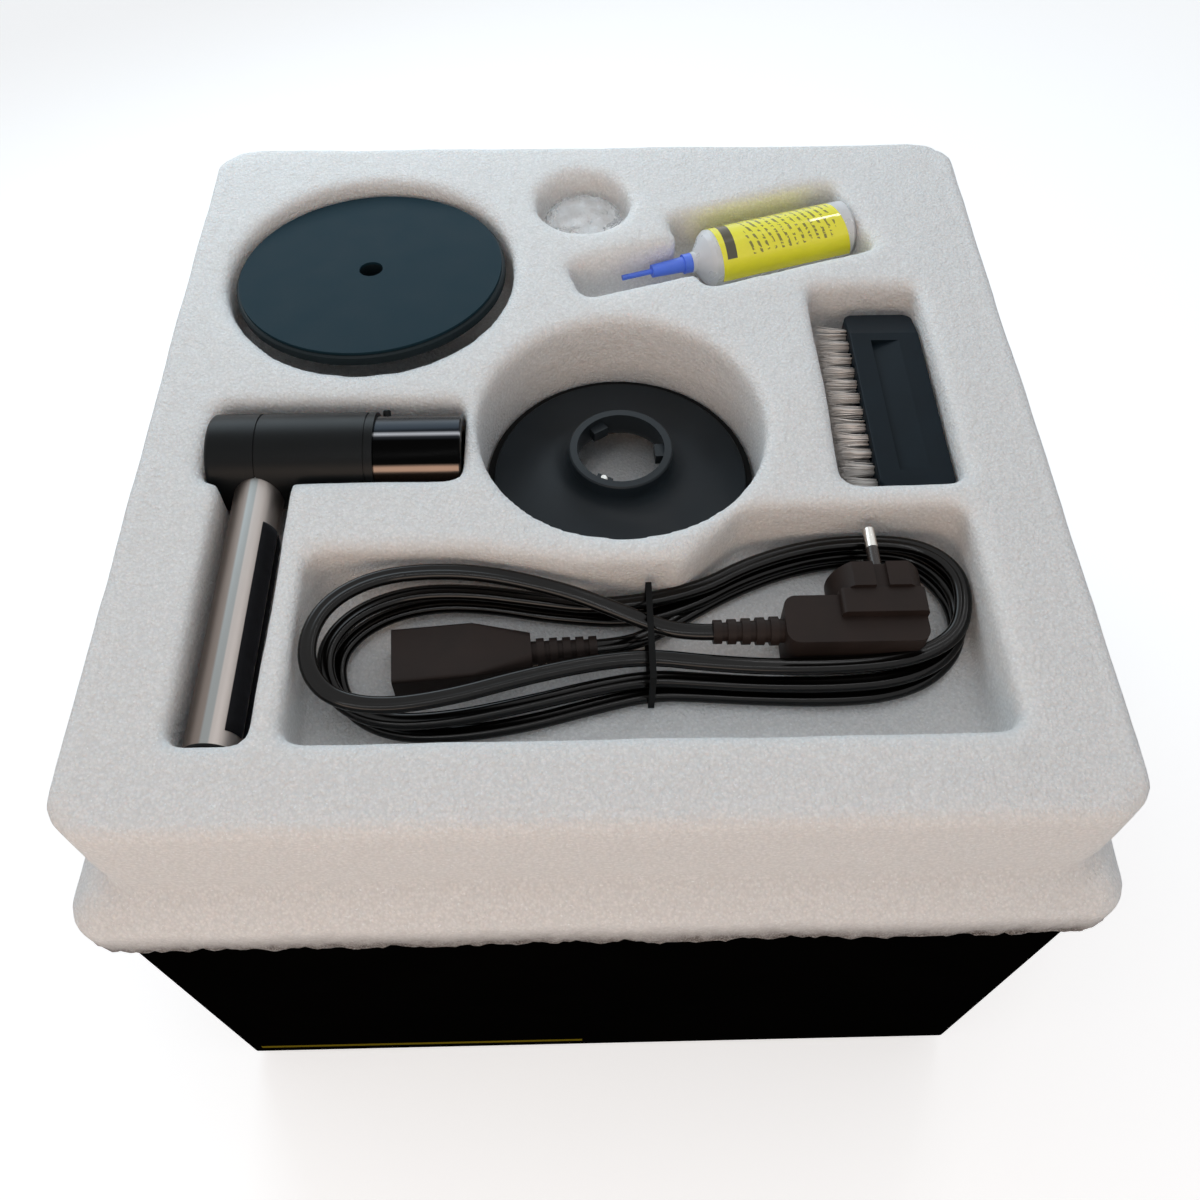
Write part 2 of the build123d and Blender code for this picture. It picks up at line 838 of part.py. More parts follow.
with BuildPart() as tank_lid:
    rim_w = tank_w - 2 * tank_wall - 2 * fit_gap
    rim_d = tank_d - 2 * tank_wall - 2 * fit_gap
    with BuildSketch(Plane.XY.offset(tank_top_z)):
        with Locations((tank_cx, tank_cy)):
            RectangleRounded(tank_w, tank_d, tank_corner_r)
    extrude(amount=lid_t)
    with BuildSketch(Plane.XY.offset(tank_top_z)):
        with Locations((tank_cx, tank_cy)):
            RectangleRounded(rim_w, rim_d, tank_corner_r - tank_wall)
            RectangleRounded(rim_w - 2 * lid_rim_w, rim_d - 2 * lid_rim_w, 2, mode=Mode.SUBTRACT)
    extrude(amount=-lid_rim_h)
    for x, y in ((socket_x, socket_y), (transfer_x, transfer_y)):
        with BuildSketch(Plane.XY.offset(lid_top_z)):
            with Locations((x, y)):
                Circle(spigot_r)
        extrude(amount=lid_spigot_len)
        with BuildSketch(Plane.XY.offset(tank_top_z)):
            with Locations((x, y)):
                Circle(spigot_bore_r)
        extrude(amount=lid_t + lid_spigot_len, mode=Mode.SUBTRACT)
save(tank_lid, "tank_lid")

with BuildPart() as suction_hose:
    with BuildSketch(Plane.XY.offset(lid_top_z)):
        with Locations((socket_x, socket_y)):
            Circle(spigot_r + run_gap + hose_wall)
            Circle(spigot_r + run_gap, mode=Mode.SUBTRACT)
    extrude(amount=socket_bottom_z - lid_top_z)
save(suction_hose, "suction_hose")

with BuildPart() as vacuum_housing:
    with BuildSketch(Plane.XY.offset(bottom_top_z)):
        with Locations((vac_x, vac_y)):
            Circle(vac_r)
    extrude(amount=vac_h)
    with BuildSketch(Plane.XY.offset(bottom_top_z + vac_floor_t)):
        with Locations((vac_x, vac_y)):
            Circle(vac_r - vac_wall)
            Circle(vac_boss_r, mode=Mode.SUBTRACT)
    extrude(amount=vac_h, mode=Mode.SUBTRACT)
    with BuildSketch(Plane.XY.offset(bottom_top_z + vac_floor_t + vac_boss_h)):
        with Locations((vac_x, vac_y)):
            Circle(vac_boss_r)
    extrude(amount=vac_h, mode=Mode.SUBTRACT)
    with BuildSketch(Plane.XY.offset(bottom_top_z + vac_floor_t)):
        with Locations((vac_x, vac_y)):
            Circle(rotor_shaft_r + run_gap)
    extrude(amount=vac_boss_h, mode=Mode.SUBTRACT)
    with BuildSketch(Plane.XZ.offset(-(vac_y + vac_r))):
        with Locations((vac_x, exhaust_z)):
            Rectangle(vac_port_w, vac_port_h)
    extrude(amount=vac_r / 2, mode=Mode.SUBTRACT)
save(vacuum_housing, "vacuum_housing")

with BuildPart() as vacuum_lid:
    with BuildSketch(Plane.XY.offset(vac_top_z)):
        with Locations((vac_x, vac_y)):
            Circle(vac_r)
    extrude(amount=vac_lid_t)
    with BuildSketch(Plane.XY.offset(vac_top_z)):
        with Locations((vac_x, vac_y)):
            Circle(vac_boss_r)
            Circle(rotor_shaft_r + run_gap, mode=Mode.SUBTRACT)
    extrude(amount=-vac_boss_h)
    with BuildSketch(Plane.XY.offset(vac_lid_top_z)):
        with Locations((vac_x, transfer_y)):
            Circle(spigot_r)
    extrude(amount=vac_spigot_len)
    with BuildSketch(Plane.XY.offset(vac_top_z)):
        with Locations((vac_x, transfer_y)):
            Circle(spigot_bore_r)
    extrude(amount=vac_lid_t + vac_spigot_len, mode=Mode.SUBTRACT)
save(vacuum_lid, "vacuum_lid")

with BuildPart() as vacuum_rotor:
    shaft_low_z = bottom_top_z + vac_floor_t + rotor_end_gap
    disc_z = bottom_top_z + rotor_disc_z
    with BuildSketch(Plane.XY.offset(shaft_low_z)):
        with Locations((vac_x, vac_y)):
            Circle(rotor_shaft_r)
    extrude(amount=vac_top_z - rotor_end_gap - shaft_low_z)
    with BuildSketch(Plane.XY.offset(disc_z)):
        with Locations((vac_x, vac_y)):
            Circle(rotor_r)
    extrude(amount=rotor_disc_t)
    with BuildSketch(Plane.XY.offset(disc_z)):
        with Locations((vac_x, vac_y)):
            Circle(rotor_core_r)
    extrude(amount=-rotor_core_h)
    with BuildSketch(Plane.XY.offset(disc_z + rotor_disc_t)):
        with Locations((vac_x, vac_y)):
            with PolarLocations(rotor_r - rotor_blade_len / 2 - 1, rotor_blades):
                Rectangle(rotor_blade_len, rotor_blade_t, rotation=rotor_blade_turn)
    extrude(amount=rotor_blade_h)
save(vacuum_rotor, "vacuum_rotor")

with BuildPart() as vacuum_hose:
    with BuildLine() as hose_path:
        FilletPolyline(
            (transfer_x, transfer_y, lid_top_z),
            (transfer_x, transfer_y, transfer_hose_z),
            (vac_x, transfer_y, transfer_hose_z),
            (vac_x, transfer_y, vac_lid_top_z),
            radius=transfer_hose_r,
        )
    with BuildSketch(Plane.XY.offset(lid_top_z)):
        with Locations((transfer_x, transfer_y)):
            Circle(spigot_r + run_gap + hose_wall)
            Circle(spigot_r + run_gap, mode=Mode.SUBTRACT)
    sweep(path=hose_path.wires()[0])
save(vacuum_hose, "vacuum_hose")

# ================================================================ machine: drain
with BuildPart() as drain_elbow:
    with BuildSketch(Plane.XZ.offset(-outer_back_y)):
        with Locations((drain_x, drain_z)):
            RectangleRounded(elbow_w, elbow_h, 2)
    extrude(amount=-elbow_d)
    with BuildSketch(Plane.XZ.offset(-outer_back_y)):
        with Locations((drain_x, drain_z)):
            Circle(drain_pipe_r)
    extrude(amount=outer_back_y - (tank_y0 + tank_d - tank_wall))
    with BuildSketch(Plane.XY.offset(hose_low_z)):
        with Locations((drain_x, drain_y)):
            Circle(barb_r)
    extrude(amount=barb_len)
    with BuildSketch(Plane.XZ.offset(-(outer_back_y + elbow_d / 2))):
        with Locations((drain_x, drain_z)):
            Circle(drain_bore_r)
    extrude(amount=case_w, mode=Mode.SUBTRACT)
    with BuildSketch(Plane.XY.offset(drain_z)):
        with Locations((drain_x, drain_y)):
            Circle(barb_bore_r)
    extrude(amount=elbow_h, mode=Mode.SUBTRACT)
save(drain_elbow, "drain_elbow")

with BuildPart() as drain_hose:
    with BuildSketch(Plane.XY.offset(hose_low_z)):
        with Locations((drain_x, drain_y)):
            Circle(drain_hose_r)
            Circle(drain_hose_bore_r, mode=Mode.SUBTRACT)
    extrude(amount=drain_hose_len)
save(drain_hose, "drain_hose")

with BuildPart() as hose_clips:
    for rise in clip_rises:
        with BuildSketch(Plane.XY.offset(hose_low_z + rise)):
            with Locations((drain_x, drain_y)):
                Rectangle(clip_w, elbow_d)
                Circle(drain_hose_r + run_gap, mode=Mode.SUBTRACT)
            with Locations((drain_x, outer_back_y + elbow_d)):
                Rectangle(clip_mouth, elbow_d, mode=Mode.SUBTRACT)
        extrude(amount=clip_h)
save(hose_clips, "hose_clips")

with BuildPart() as drain_cap:
    with BuildSketch(Plane.XY.offset(hose_top_z)):
        with Locations((drain_x, drain_y)):
            Circle(drain_hose_r)
    extrude(amount=cap_h)
    with BuildSketch(Plane.XY.offset(hose_top_z)):
        with Locations((drain_x, drain_y)):
            Circle(barb_r)
    extrude(amount=-cap_peg_len)
save(drain_cap, "drain_cap")

# ================================================================ machine: mains inlet and switches
back_plane = Plane(origin=(inlet_x, outer_back_y, inlet_z), x_dir=(-1, 0, 0), z_dir=(0, 1, 0))
with BuildPart() as mains_inlet:
    with BuildSketch(back_plane):
        with Locations((0, 0), (0, rocker_rise)):
            Rectangle(inlet_w, inlet_h)
    extrude(amount=-inlet_depth)
    with BuildSketch(back_plane):
        with Locations((0, rocker_rise / 2)):
            RectangleRounded(inlet_flange_w, inlet_flange_h, 2)
    extrude(amount=inlet_flange_t)
    with BuildSketch(back_plane.offset(inlet_flange_t)):
        Rectangle(inlet_cavity_w, inlet_cavity_h)
    extrude(amount=-inlet_cavity_depth, mode=Mode.SUBTRACT)
    with BuildSketch(back_plane.offset(inlet_flange_t - inlet_cavity_depth)):
        with Locations(
            (-inlet_pin_pitch, -inlet_pin_rise),
            (inlet_pin_pitch, -inlet_pin_rise),
            (0, inlet_pin_rise),
        ):
            Rectangle(inlet_pin_w, inlet_pin_h)
    extrude(amount=inlet_pin_len)
    with BuildSketch(back_plane.offset(inlet_flange_t)):
        with Locations((0, rocker_rise)):
            Rectangle(rocker_w + 2 * rocker_play, rocker_h + 4 * rocker_play)
    extrude(amount=-rocker_pocket_d, mode=Mode.SUBTRACT)
    with BuildSketch(Plane.YZ.offset(inlet_x)):
        with Locations((rocker_pivot_y, rocker_z)):
            Circle(rocker_pin_r + run_gap)
    extrude(amount=rocker_w / 2 + rocker_pin_len + run_gap, both=True, mode=Mode.SUBTRACT)
save(mains_inlet, "mains_inlet")

with BuildPart() as power_rocker:
    rocker_out_y = outer_back_y + inlet_flange_t + rocker_proud - rocker_arc
    with BuildSketch(Plane.YZ.offset(inlet_x)):
        with BuildLine():
            Polyline(
                (rocker_out_y, rocker_z + rocker_h / 2),
                (rocker_pivot_y - 2, rocker_z + rocker_h / 2),
                (rocker_pivot_y - rocker_heel, rocker_z),
                (rocker_pivot_y - 2, rocker_z - rocker_h / 2),
                (rocker_out_y, rocker_z - rocker_h / 2),
            )
            ThreePointArc(
                (rocker_out_y, rocker_z - rocker_h / 2),
                (rocker_out_y + rocker_arc, rocker_z),
                (rocker_out_y, rocker_z + rocker_h / 2),
            )
        make_face()
    extrude(amount=rocker_w / 2, both=True)
    with BuildSketch(Plane.YZ.offset(inlet_x)):
        with Locations((rocker_pivot_y, rocker_z)):
            Circle(rocker_pin_r)
    extrude(amount=rocker_w / 2 + rocker_pin_len, both=True)
save(power_rocker, "power_rocker")

with BuildPart() as toggle_bodies:
    for x in toggle_xs:
        with BuildSketch(Plane.XY.offset(plate_bottom_z)):
            with Locations((x, toggle_y)):
                RectangleRounded(toggle_body_w, toggle_body_d, toggle_edge_r)
        extrude(amount=-toggle_body_h)
        with BuildSketch(Plane.XY.offset(plate_bottom_z)):
            with Locations((x, toggle_y)):
                Circle(toggle_bush_r)
        extrude(amount=top_plate_t + toggle_bush_h)
        with BuildSketch(Plane.XY.offset(plate_top_z)):
            with Locations((x, toggle_y)):
                RegularPolygon(toggle_nut_r, 6)
        extrude(amount=toggle_nut_t)
        with BuildSketch(Plane.XY.offset(plate_top_z + toggle_ball_z - toggle_ball_r - 1)):
            with Locations((x, toggle_y)):
                Circle(toggle_ball_r + run_gap)
        extrude(amount=toggle_bush_h, mode=Mode.SUBTRACT)
        with BuildSketch(Plane.YZ.offset(x)):
            with Locations((toggle_y, plate_top_z + toggle_ball_z)):
                Circle(toggle_pin_r + run_gap)
        extrude(amount=toggle_ball_r + toggle_pin_len + run_gap, both=True, mode=Mode.SUBTRACT)
        with BuildSketch(Plane.XY.offset(plate_top_z + toggle_bush_h)):
            with Locations((x, toggle_y)):
                Circle(toggle_mouth_r)
        extrude(amount=-toggle_mouth_depth, taper=toggle_mouth_taper, mode=Mode.SUBTRACT)
save(toggle_bodies, "toggle_bodies")

for x, toggle_name in zip(toggle_xs, ("rotation_toggle", "vacuum_toggle")):
    with BuildPart() as toggle_lever:
        ball_z = plate_top_z + toggle_ball_z
        with BuildSketch(Plane(origin=(x, toggle_y, ball_z), x_dir=(1, 0, 0), z_dir=(0, -1, 0))):
            with BuildLine():
                Polyline(
                    (0, -toggle_ball_r),
                    (0, toggle_rod_len),
                    (toggle_tip_r - 1, toggle_rod_len),
                )
                RadiusArc((toggle_tip_r - 1, toggle_rod_len), (toggle_tip_r, toggle_rod_len - 1), 1)
                rod_low = math.sqrt(toggle_ball_r**2 - toggle_rod_r**2)
                Line((toggle_tip_r, toggle_rod_len - 1), (toggle_rod_r, rod_low))
                ThreePointArc((toggle_rod_r, rod_low), (toggle_ball_r, 0), (0, -toggle_ball_r))
            make_face()
        revolve(axis=Axis((x, toggle_y, 0), (0, 0, 1)))
        with BuildSketch(Plane.YZ.offset(x)):
            with Locations((toggle_y, ball_z)):
                Circle(toggle_pin_r)
        extrude(amount=toggle_ball_r + toggle_pin_len, both=True)
    save(toggle_lever, toggle_name)

# ================================================================ machine: power board and wiring
with BuildPart() as power_board:
    with BuildSketch(Plane.XY.offset(bottom_top_z)):
        with Locations((board_x, board_y)):
            with GridLocations(board_w - 2 * standoff_inset, board_d - 2 * standoff_inset, 2, 2):
                Circle(standoff_r)
    extrude(amount=board_rise)
    with BuildSketch(Plane.XY.offset(bottom_top_z + board_rise)):
        with Locations((board_x, board_y)):
            Rectangle(board_w, board_d)
    extrude(amount=board_t)
    with BuildSketch(Plane.XY.offset(board_top_z)):
        with Locations((board_x + transformer_shift_x, board_y + transformer_shift_y)):
            RectangleRounded(transformer_w, transformer_d, transformer_edge_r)
    extrude(amount=transformer_h)
    with BuildSketch(Plane.XY.offset(board_top_z)):
        with Locations([(board_x + x, board_y + y) for x, y in capacitor_spots]):
            Circle(capacitor_r)
    extrude(amount=capacitor_h)
    with BuildSketch(Plane.XY.offset(board_top_z)):
        with Locations([(board_left_x + terminal_w / 2, board_y + side) for side in terminal_ys]):
            Rectangle(terminal_w, terminal_d)
        with Locations([(x, board_back_y - terminal_w / 2) for x in (vac_wire_x, motor_x)]):
            Rectangle(terminal_d, terminal_w)
    extrude(amount=terminal_h)
save(power_board, "power_board")


def wire(route, bend):
    """One run of insulated wire bundle along straight runs with rounded corners."""
    with BuildLine() as run:
        if len(route) > 2:
            FilletPolyline(*route, radius=bend)
        else:
            Line(*route)
    path = run.wires()[0]
    with BuildSketch(Plane(origin=path @ 0, z_dir=path % 0)) as section:
        Circle(wire_r)
    sweep(section.sketch, path=path)


with BuildPart() as wiring_loom:
    wire(
        [
            (inlet_x, outer_back_y - inlet_depth, inlet_z),
            (inlet_x, outer_back_y - inlet_depth - mains_wire_level, inlet_z),
            (inlet_x, outer_back_y - inlet_depth - mains_wire_level - mains_wire_drop, wire_z),
            (inlet_x, board_y + terminal_ys[1], wire_z),
            (board_left_x, board_y + terminal_ys[1], wire_z),
        ],
        wire_bend,
    )
    wire(
        [
            (board_left_x, board_y + terminal_ys[0], wire_z),
            (toggle_xs[1], toggle_y + 1, wire_z),
            (toggle_xs[1], toggle_y + 1, plate_bottom_z - toggle_body_h),
        ],
        wire_wide_bend,
    )
    wire(
        [
            (toggle_xs[0] + toggle_body_w / 2, toggle_y, plate_bottom_z - toggle_body_h / 2),
            (toggle_xs[1] - toggle_body_w / 2, toggle_y, plate_bottom_z - toggle_body_h / 2),
        ],
        0,
    )
    wire(
        [
            (motor_x, board_back_y, wire_z),
            (motor_x, spindle_y - motor_r - motor_wire_room, wire_z),
            (motor_x, spindle_y - motor_r - motor_wire_room, bearing_low_z + motor_wire_rise),
            (motor_x, spindle_y - motor_r - wire_gap, bearing_low_z + motor_wire_rise),
        ],
        wire_bend,
    )
    vac_wire_y = vac_y - math.sqrt(vac_r**2 - (vac_wire_x - vac_x) ** 2)
    wire([(vac_wire_x, board_back_y, wire_z), (vac_wire_x, vac_wire_y - 2 * fit_gap, wire_z)], 0)
save(wiring_loom, "wiring_loom")

# ================================================================ foam cap
along = Vector(math.cos(math.radians(bottle_turn)), math.sin(math.radians(bottle_turn)))
across = Vector(-along.Y, along.X)


def bottle_spot(u, v):
    """A point in plan from its places along and across the bottle's axis."""
    spot = along * u + across * v
    return (spot.X, spot.Y)


with BuildSketch() as through_pits:
    with Locations((platter_x, platter_y)):
        Circle(platter_pit_r)
    with Locations((clamp_x, clamp_y)):
        Circle(clamp_pit_r)
    with Locations(((arm_left_x + arm_right_x) / 2, arm_y)):
        RectangleRounded(
            arm_right_x - arm_left_x + 2 * arm_pit_gap, 2 * arm_r + 2 * arm_pit_gap, pit_corner_r
        )
    with Locations(((slot_left_x + slot_right_x) / 2, (slot_front_y + arm_y) / 2)):
        RectangleRounded(slot_right_x - slot_left_x, arm_y - slot_front_y, slot_corner_r)
    with Locations(((brush_pit_x0 + brush_pit_x1) / 2, (brush_pit_y0 + brush_pit_y1) / 2)):
        RectangleRounded(brush_pit_x1 - brush_pit_x0, brush_pit_y1 - brush_pit_y0, pit_corner_r)

with BuildSketch() as cord_pit:
    with BuildLine():
        FilletPolyline(
            (cord_pit_x0, cord_pit_y0),
            (cord_pit_x1, cord_pit_y0),
            (cord_pit_x1, cord_pit_back_right),
            (cord_pit_step_x, cord_pit_back_right),
            (waist_x + waist_len, cord_pit_back_dip),
            (waist_x - 2 * waist_len, cord_pit_back_dip),
            (loop_left_x, cord_pit_back_left),
            (cord_pit_x0, cord_pit_back_left),
            radius=cord_pit_r,
            close=True,
        )
    make_face()

with BuildSketch() as bottle_pit:
    with Locations(bottle_spot((bottle_pit_u0 + bottle_pit_u1) / 2, bottle_pit_v)):
        RectangleRounded(bottle_pit_u1 - bottle_pit_u0, bottle_pit_w, pit_corner_r, rotation=bottle_turn)
    with Locations(bottle_spot((nozzle_pit_u0 + bottle_pit_u0) / 2 + pit_corner_r / 2, nozzle_pit_v)):
        RectangleRounded(
            bottle_pit_u0 - nozzle_pit_u0 + pit_corner_r, nozzle_pit_w, pit_corner_r, rotation=bottle_turn
        )

with BuildSketch() as bag_pit:
    with Locations((bag_x, bag_y)):
        Circle(bag_pit_r)

with BuildPart() as foam_pit_sheet:
    with BuildSketch(Plane.XY.offset(deep_z)):
        RectangleRounded(foam_w, foam_d, foam_corner_r)
        add(through_pits.sketch, mode=Mode.SUBTRACT)
        add(cord_pit.sketch, mode=Mode.SUBTRACT)
    extrude(amount=pit_sheet_t)
    with BuildSketch(Plane.XY.offset(foam_top_z)):
        add(bottle_pit.sketch)
    extrude(amount=-bottle_pit_depth, mode=Mode.SUBTRACT)
    with BuildSketch(Plane.XY.offset(foam_top_z)):
        add(bag_pit.sketch)
    extrude(amount=-bag_pit_depth, mode=Mode.SUBTRACT)
save(foam_pit_sheet, "foam_pit_sheet")

with BuildPart() as foam_deep_sheet:
    with BuildSketch(Plane.XY.offset(floor_z)):
        RectangleRounded(foam_w, foam_d, foam_corner_r)
        with Locations((clamp_x, clamp_y)):
            Circle(clamp_pit_r, mode=Mode.SUBTRACT)
    extrude(amount=deep_sheet_t)
save(foam_deep_sheet, "foam_deep_sheet")

with BuildPart() as foam_base:
    pocket_w = case_w + 2 * case_pocket_gap
    with BuildSketch(Plane.XY.offset(flange_z)):
        RectangleRounded(flange_w, flange_w, flange_corner_r)
    extrude(amount=flange_t)
    chamfer(foam_base.edges().group_by(Axis.Z)[-1], flange_slope)
    with BuildSketch(Plane.XY.offset(flange_top_z)):
        RectangleRounded(foam_w, foam_d, foam_corner_r)
    extrude(amount=foam_floor_t)
    with BuildSketch(Plane.XY.offset(flange_z)):
        RectangleRounded(pocket_w, pocket_w, case_corner_r)
    extrude(amount=flange_overlap, mode=Mode.SUBTRACT)
    with BuildSketch(Plane.XY.offset(rim_z)):
        RectangleRounded(window_w, window_w, window_corner_r)
    extrude(amount=window_h, mode=Mode.SUBTRACT)
save(foam_base, "foam_base")

# ================================================================ platter
hub_drop = hub_r * math.sin(math.radians(math.hypot(platter_tilt, platter_lean)))
platter_plane = Plane(
    origin=(platter_x, platter_y, rest_z + hub_drop), x_dir=(1, 0, 0), z_dir=(0, 0, 1)
).rotated((-platter_tilt, -platter_lean, 0))

with BuildPart() as platter_disc:
    with BuildSketch(platter_plane.offset(hub_h)):
        Circle(platter_r)
    extrude(amount=platter_t)
    chamfer(platter_disc.edges().filter_by(GeomType.CIRCLE), platter_edge)
    with BuildSketch(platter_plane.offset(hub_h)):
        Circle(hub_flange_r)
    extrude(amount=-hub_flange_t)
    with BuildSketch(platter_plane.offset(hub_h)):
        Circle(hub_r)
    extrude(amount=-hub_h)
    with BuildSketch(platter_plane):
        Circle(platter_hole_r)
    extrude(amount=hub_h + platter_t, mode=Mode.SUBTRACT)
save(platter_disc, "platter_disc")

with BuildPart() as platter_mat:
    with BuildSketch(platter_plane.offset(hub_h + platter_t)):
        Circle(platter_r - mat_inset)
        Circle(platter_hole_r, mode=Mode.SUBTRACT)
    extrude(amount=mat_t)
save(platter_mat, "platter_mat")

# ================================================================ clamp
clamp_z = floor_z + soft_gap
lip_z = clamp_z + clamp_seal_h
cone_z = lip_z + clamp_lip_t
cone_base_z = lip_z + clamp_seat
edge_z = cone_z + cone_edge_t
collar_top_z = cone_z + cone_rise
collar_base_z = collar_top_z - collar_h
collar_inner_r = collar_r - collar_wall

turned(
    [
        (clamp_r - clamp_seal_w, clamp_z),
        (clamp_r - seal_bevel, clamp_z),
        (clamp_r - seal_bevel, clamp_z + seal_bevel),
        (clamp_r, lip_z),
        (clamp_r, cone_z),
        (cone_r + fit_gap, cone_z),
        (cone_r + fit_gap, cone_base_z),
        (clamp_r - clamp_seal_w, cone_base_z),
    ],
    clamp_x,
    clamp_y,
    "clamp_seal",
)

with BuildPart() as clamp_cone:
    with BuildSketch(Plane(origin=(clamp_x, clamp_y, 0), x_dir=(1, 0, 0), z_dir=(0, -1, 0))):
        with BuildLine():
            Polyline(
                (cone_r - cone_foot_w, cone_base_z),
                (cone_r, cone_base_z),
                (cone_r, edge_z - cone_lip_bevel),
                (cone_r - cone_lip_bevel, edge_z),
            )
            Spline(
                (cone_r - cone_lip_bevel, edge_z),
                (collar_r + cone_bend_out, edge_z + cone_bend_up),
                (collar_r, collar_base_z + 3),
                tangents=((-1, flare_low), (-flare_high, 1)),
            )
            Polyline(
                (collar_r, collar_base_z + 3),
                (collar_r, collar_top_z - cone_lip_bevel),
                (collar_r - cone_lip_bevel, collar_top_z),
                (collar_inner_r, collar_top_z),
                (collar_inner_r, collar_base_z),
            )
            Spline(
                (collar_inner_r, collar_base_z),
                (collar_r + cone_hollow_out, edge_z - cone_hollow_drop),
                (cone_r - cone_foot_w, cone_base_z),
                tangents=((flare_high, -1), (1, -flare_low)),
            )
        make_face()
    revolve(axis=Axis((clamp_x, clamp_y, 0), (0, 0, 1)))
    with BuildSketch(Plane.XY.offset(collar_base_z + 1)):
        with Locations((clamp_x, clamp_y)):
            with PolarLocations(collar_inner_r - boss_in, 3, start_angle=clamp_boss_angle):
                Rectangle(boss_d, boss_w)
    extrude(amount=boss_h)
save(clamp_cone, "clamp_cone")

screw_reach = collar_inner_r - boss_in - screw_in
screw_angle = math.radians(clamp_boss_angle)
with BuildPart() as clamp_screw:
    with BuildSketch(Plane.XY.offset(collar_base_z + 1 + boss_h)):
        with Locations(
            (clamp_x + screw_reach * math.cos(screw_angle), clamp_y + screw_reach * math.sin(screw_angle))
        ):
            Circle(clamp_screw_r)
    extrude(amount=clamp_screw_h)
    chamfer(clamp_screw.faces().sort_by(Axis.Z)[-1].edges(), clamp_screw_top / 2)
save(clamp_screw, "clamp_screw")

# ================================================================ suction arm
def arm_plane(x):
    """A plane across the arm, facing its cap end."""
    return Plane(origin=(x, arm_y, arm_z), x_dir=(0, 1, 0), z_dir=(-1, 0, 0))


def sleeve_groove(x):
    with BuildSketch(arm_plane(x)) as ring:
        Circle(arm_r + 1)
        Circle(arm_r - sleeve_groove_d, mode=Mode.SUBTRACT)
    extrude(ring.sketch, amount=sleeve_groove_w, mode=Mode.SUBTRACT)


def arm_pin_plane():
    """The flat floor of the pin's hole in the riser."""
    rise = math.radians(arm_pin_rise)
    out = (0, math.cos(rise), math.sin(rise))
    centre = Plane(origin=(riser_x + arm_pin_from_sleeve, arm_y, arm_z), x_dir=(1, 0, 0), z_dir=out)
    return centre.offset(arm_riser_r - arm_pin_depth)


def tube_hole():
    with BuildSketch(Plane.XZ.offset(-(arm_y - arm_r))) as mouth:
        with Locations((tube_x, arm_z)):
            Circle(tube_r + run_gap)
    extrude(mouth.sketch, amount=-arm_r / 2, mode=Mode.SUBTRACT)


with BuildPart() as arm_cap:
    with BuildSketch(arm_plane(seam_x)):
        Circle(arm_r)
    extrude(amount=cap_len)
    fillet(arm_cap.faces().sort_by(Axis.X)[0].edges(), cap_edge)
    with BuildSketch(arm_plane(seam_x)):
        Circle(arm_bore_r)
    extrude(amount=cap_len - arm_r + arm_bore_r, mode=Mode.SUBTRACT)
    tube_hole()
save(arm_cap, "arm_cap")

with BuildPart() as arm_sleeve:
    with BuildSketch(arm_plane(riser_x)):
        Circle(arm_r)
        Circle(arm_bore_r, mode=Mode.SUBTRACT)
    extrude(amount=sleeve_len)
    tube_hole()
    sleeve_groove(riser_x - sleeve_band)
    sleeve_groove(seam_x + sleeve_groove_w)
save(arm_sleeve, "arm_sleeve")

with BuildPart() as arm_riser:
    with BuildSketch(arm_plane(arm_right_x)):
        Circle(arm_riser_r)
    extrude(amount=riser_len)
    with BuildSketch(arm_plane(riser_x)):
        Circle(arm_bore_r - run_gap)
    extrude(amount=riser_spigot_len)
    with BuildSketch(arm_plane(arm_right_x)):
        Circle(riser_bore_r)
    extrude(amount=riser_len + riser_spigot_len, mode=Mode.SUBTRACT)
    chamfer(arm_riser.faces().sort_by(Axis.X)[-1].edges(), riser_bevel)
    with BuildSketch(arm_pin_plane()):
        Circle(arm_pin_r)
    extrude(amount=2 * arm_pin_depth, mode=Mode.SUBTRACT)
save(arm_riser, "arm_riser")

with BuildPart() as arm_pin:
    with BuildSketch(arm_pin_plane()):
        Circle(arm_pin_r)
    extrude(amount=arm_pin_depth + arm_pin_h)
    chamfer(arm_pin.faces().sort_by(Axis.Z)[-1].edges(), arm_pin_bevel)
save(arm_pin, "arm_pin")

slot_near_y = tube_front_y + tube_slot_from_end
with BuildPart() as suction_tube:
    with BuildSketch(Plane.XZ.offset(-tube_back_y)):
        with Locations((tube_x, arm_z)):
            Circle(tube_r)
            Circle(tube_bore_r, mode=Mode.SUBTRACT)
    extrude(amount=tube_back_y - tube_front_y)
    with BuildSketch(Plane.XZ.offset(-slot_near_y)):
        with Locations((tube_x + tube_r, arm_z)):
            Rectangle(tube_r, tube_slot_w)
    extrude(amount=-tube_slot_len, mode=Mode.SUBTRACT)
save(suction_tube, "suction_tube")

with BuildPart() as velvet_strips:
    with BuildSketch(Plane.XZ.offset(-(slot_near_y - tube_slot_w))):
        with Locations((tube_x, arm_z)):
            Circle(tube_r + velvet_t)
            Circle(tube_r, mode=Mode.SUBTRACT)
        with BuildSketch(mode=Mode.INTERSECT):
            for side in (1, -1):
                reach = 2 * tube_r
                near = math.radians(side * velvet_from)
                far = math.radians(side * velvet_to)
                with BuildLine():
                    Polyline(
                        (tube_x, arm_z),
                        (tube_x + reach * math.cos(near), arm_z + reach * math.sin(near)),
                        (tube_x + reach * math.cos(far), arm_z + reach * math.sin(far)),
                        close=True,
                    )
                make_face()
    extrude(amount=-(tube_slot_len + 2 * tube_slot_w))
save(velvet_strips, "velvet_strips")

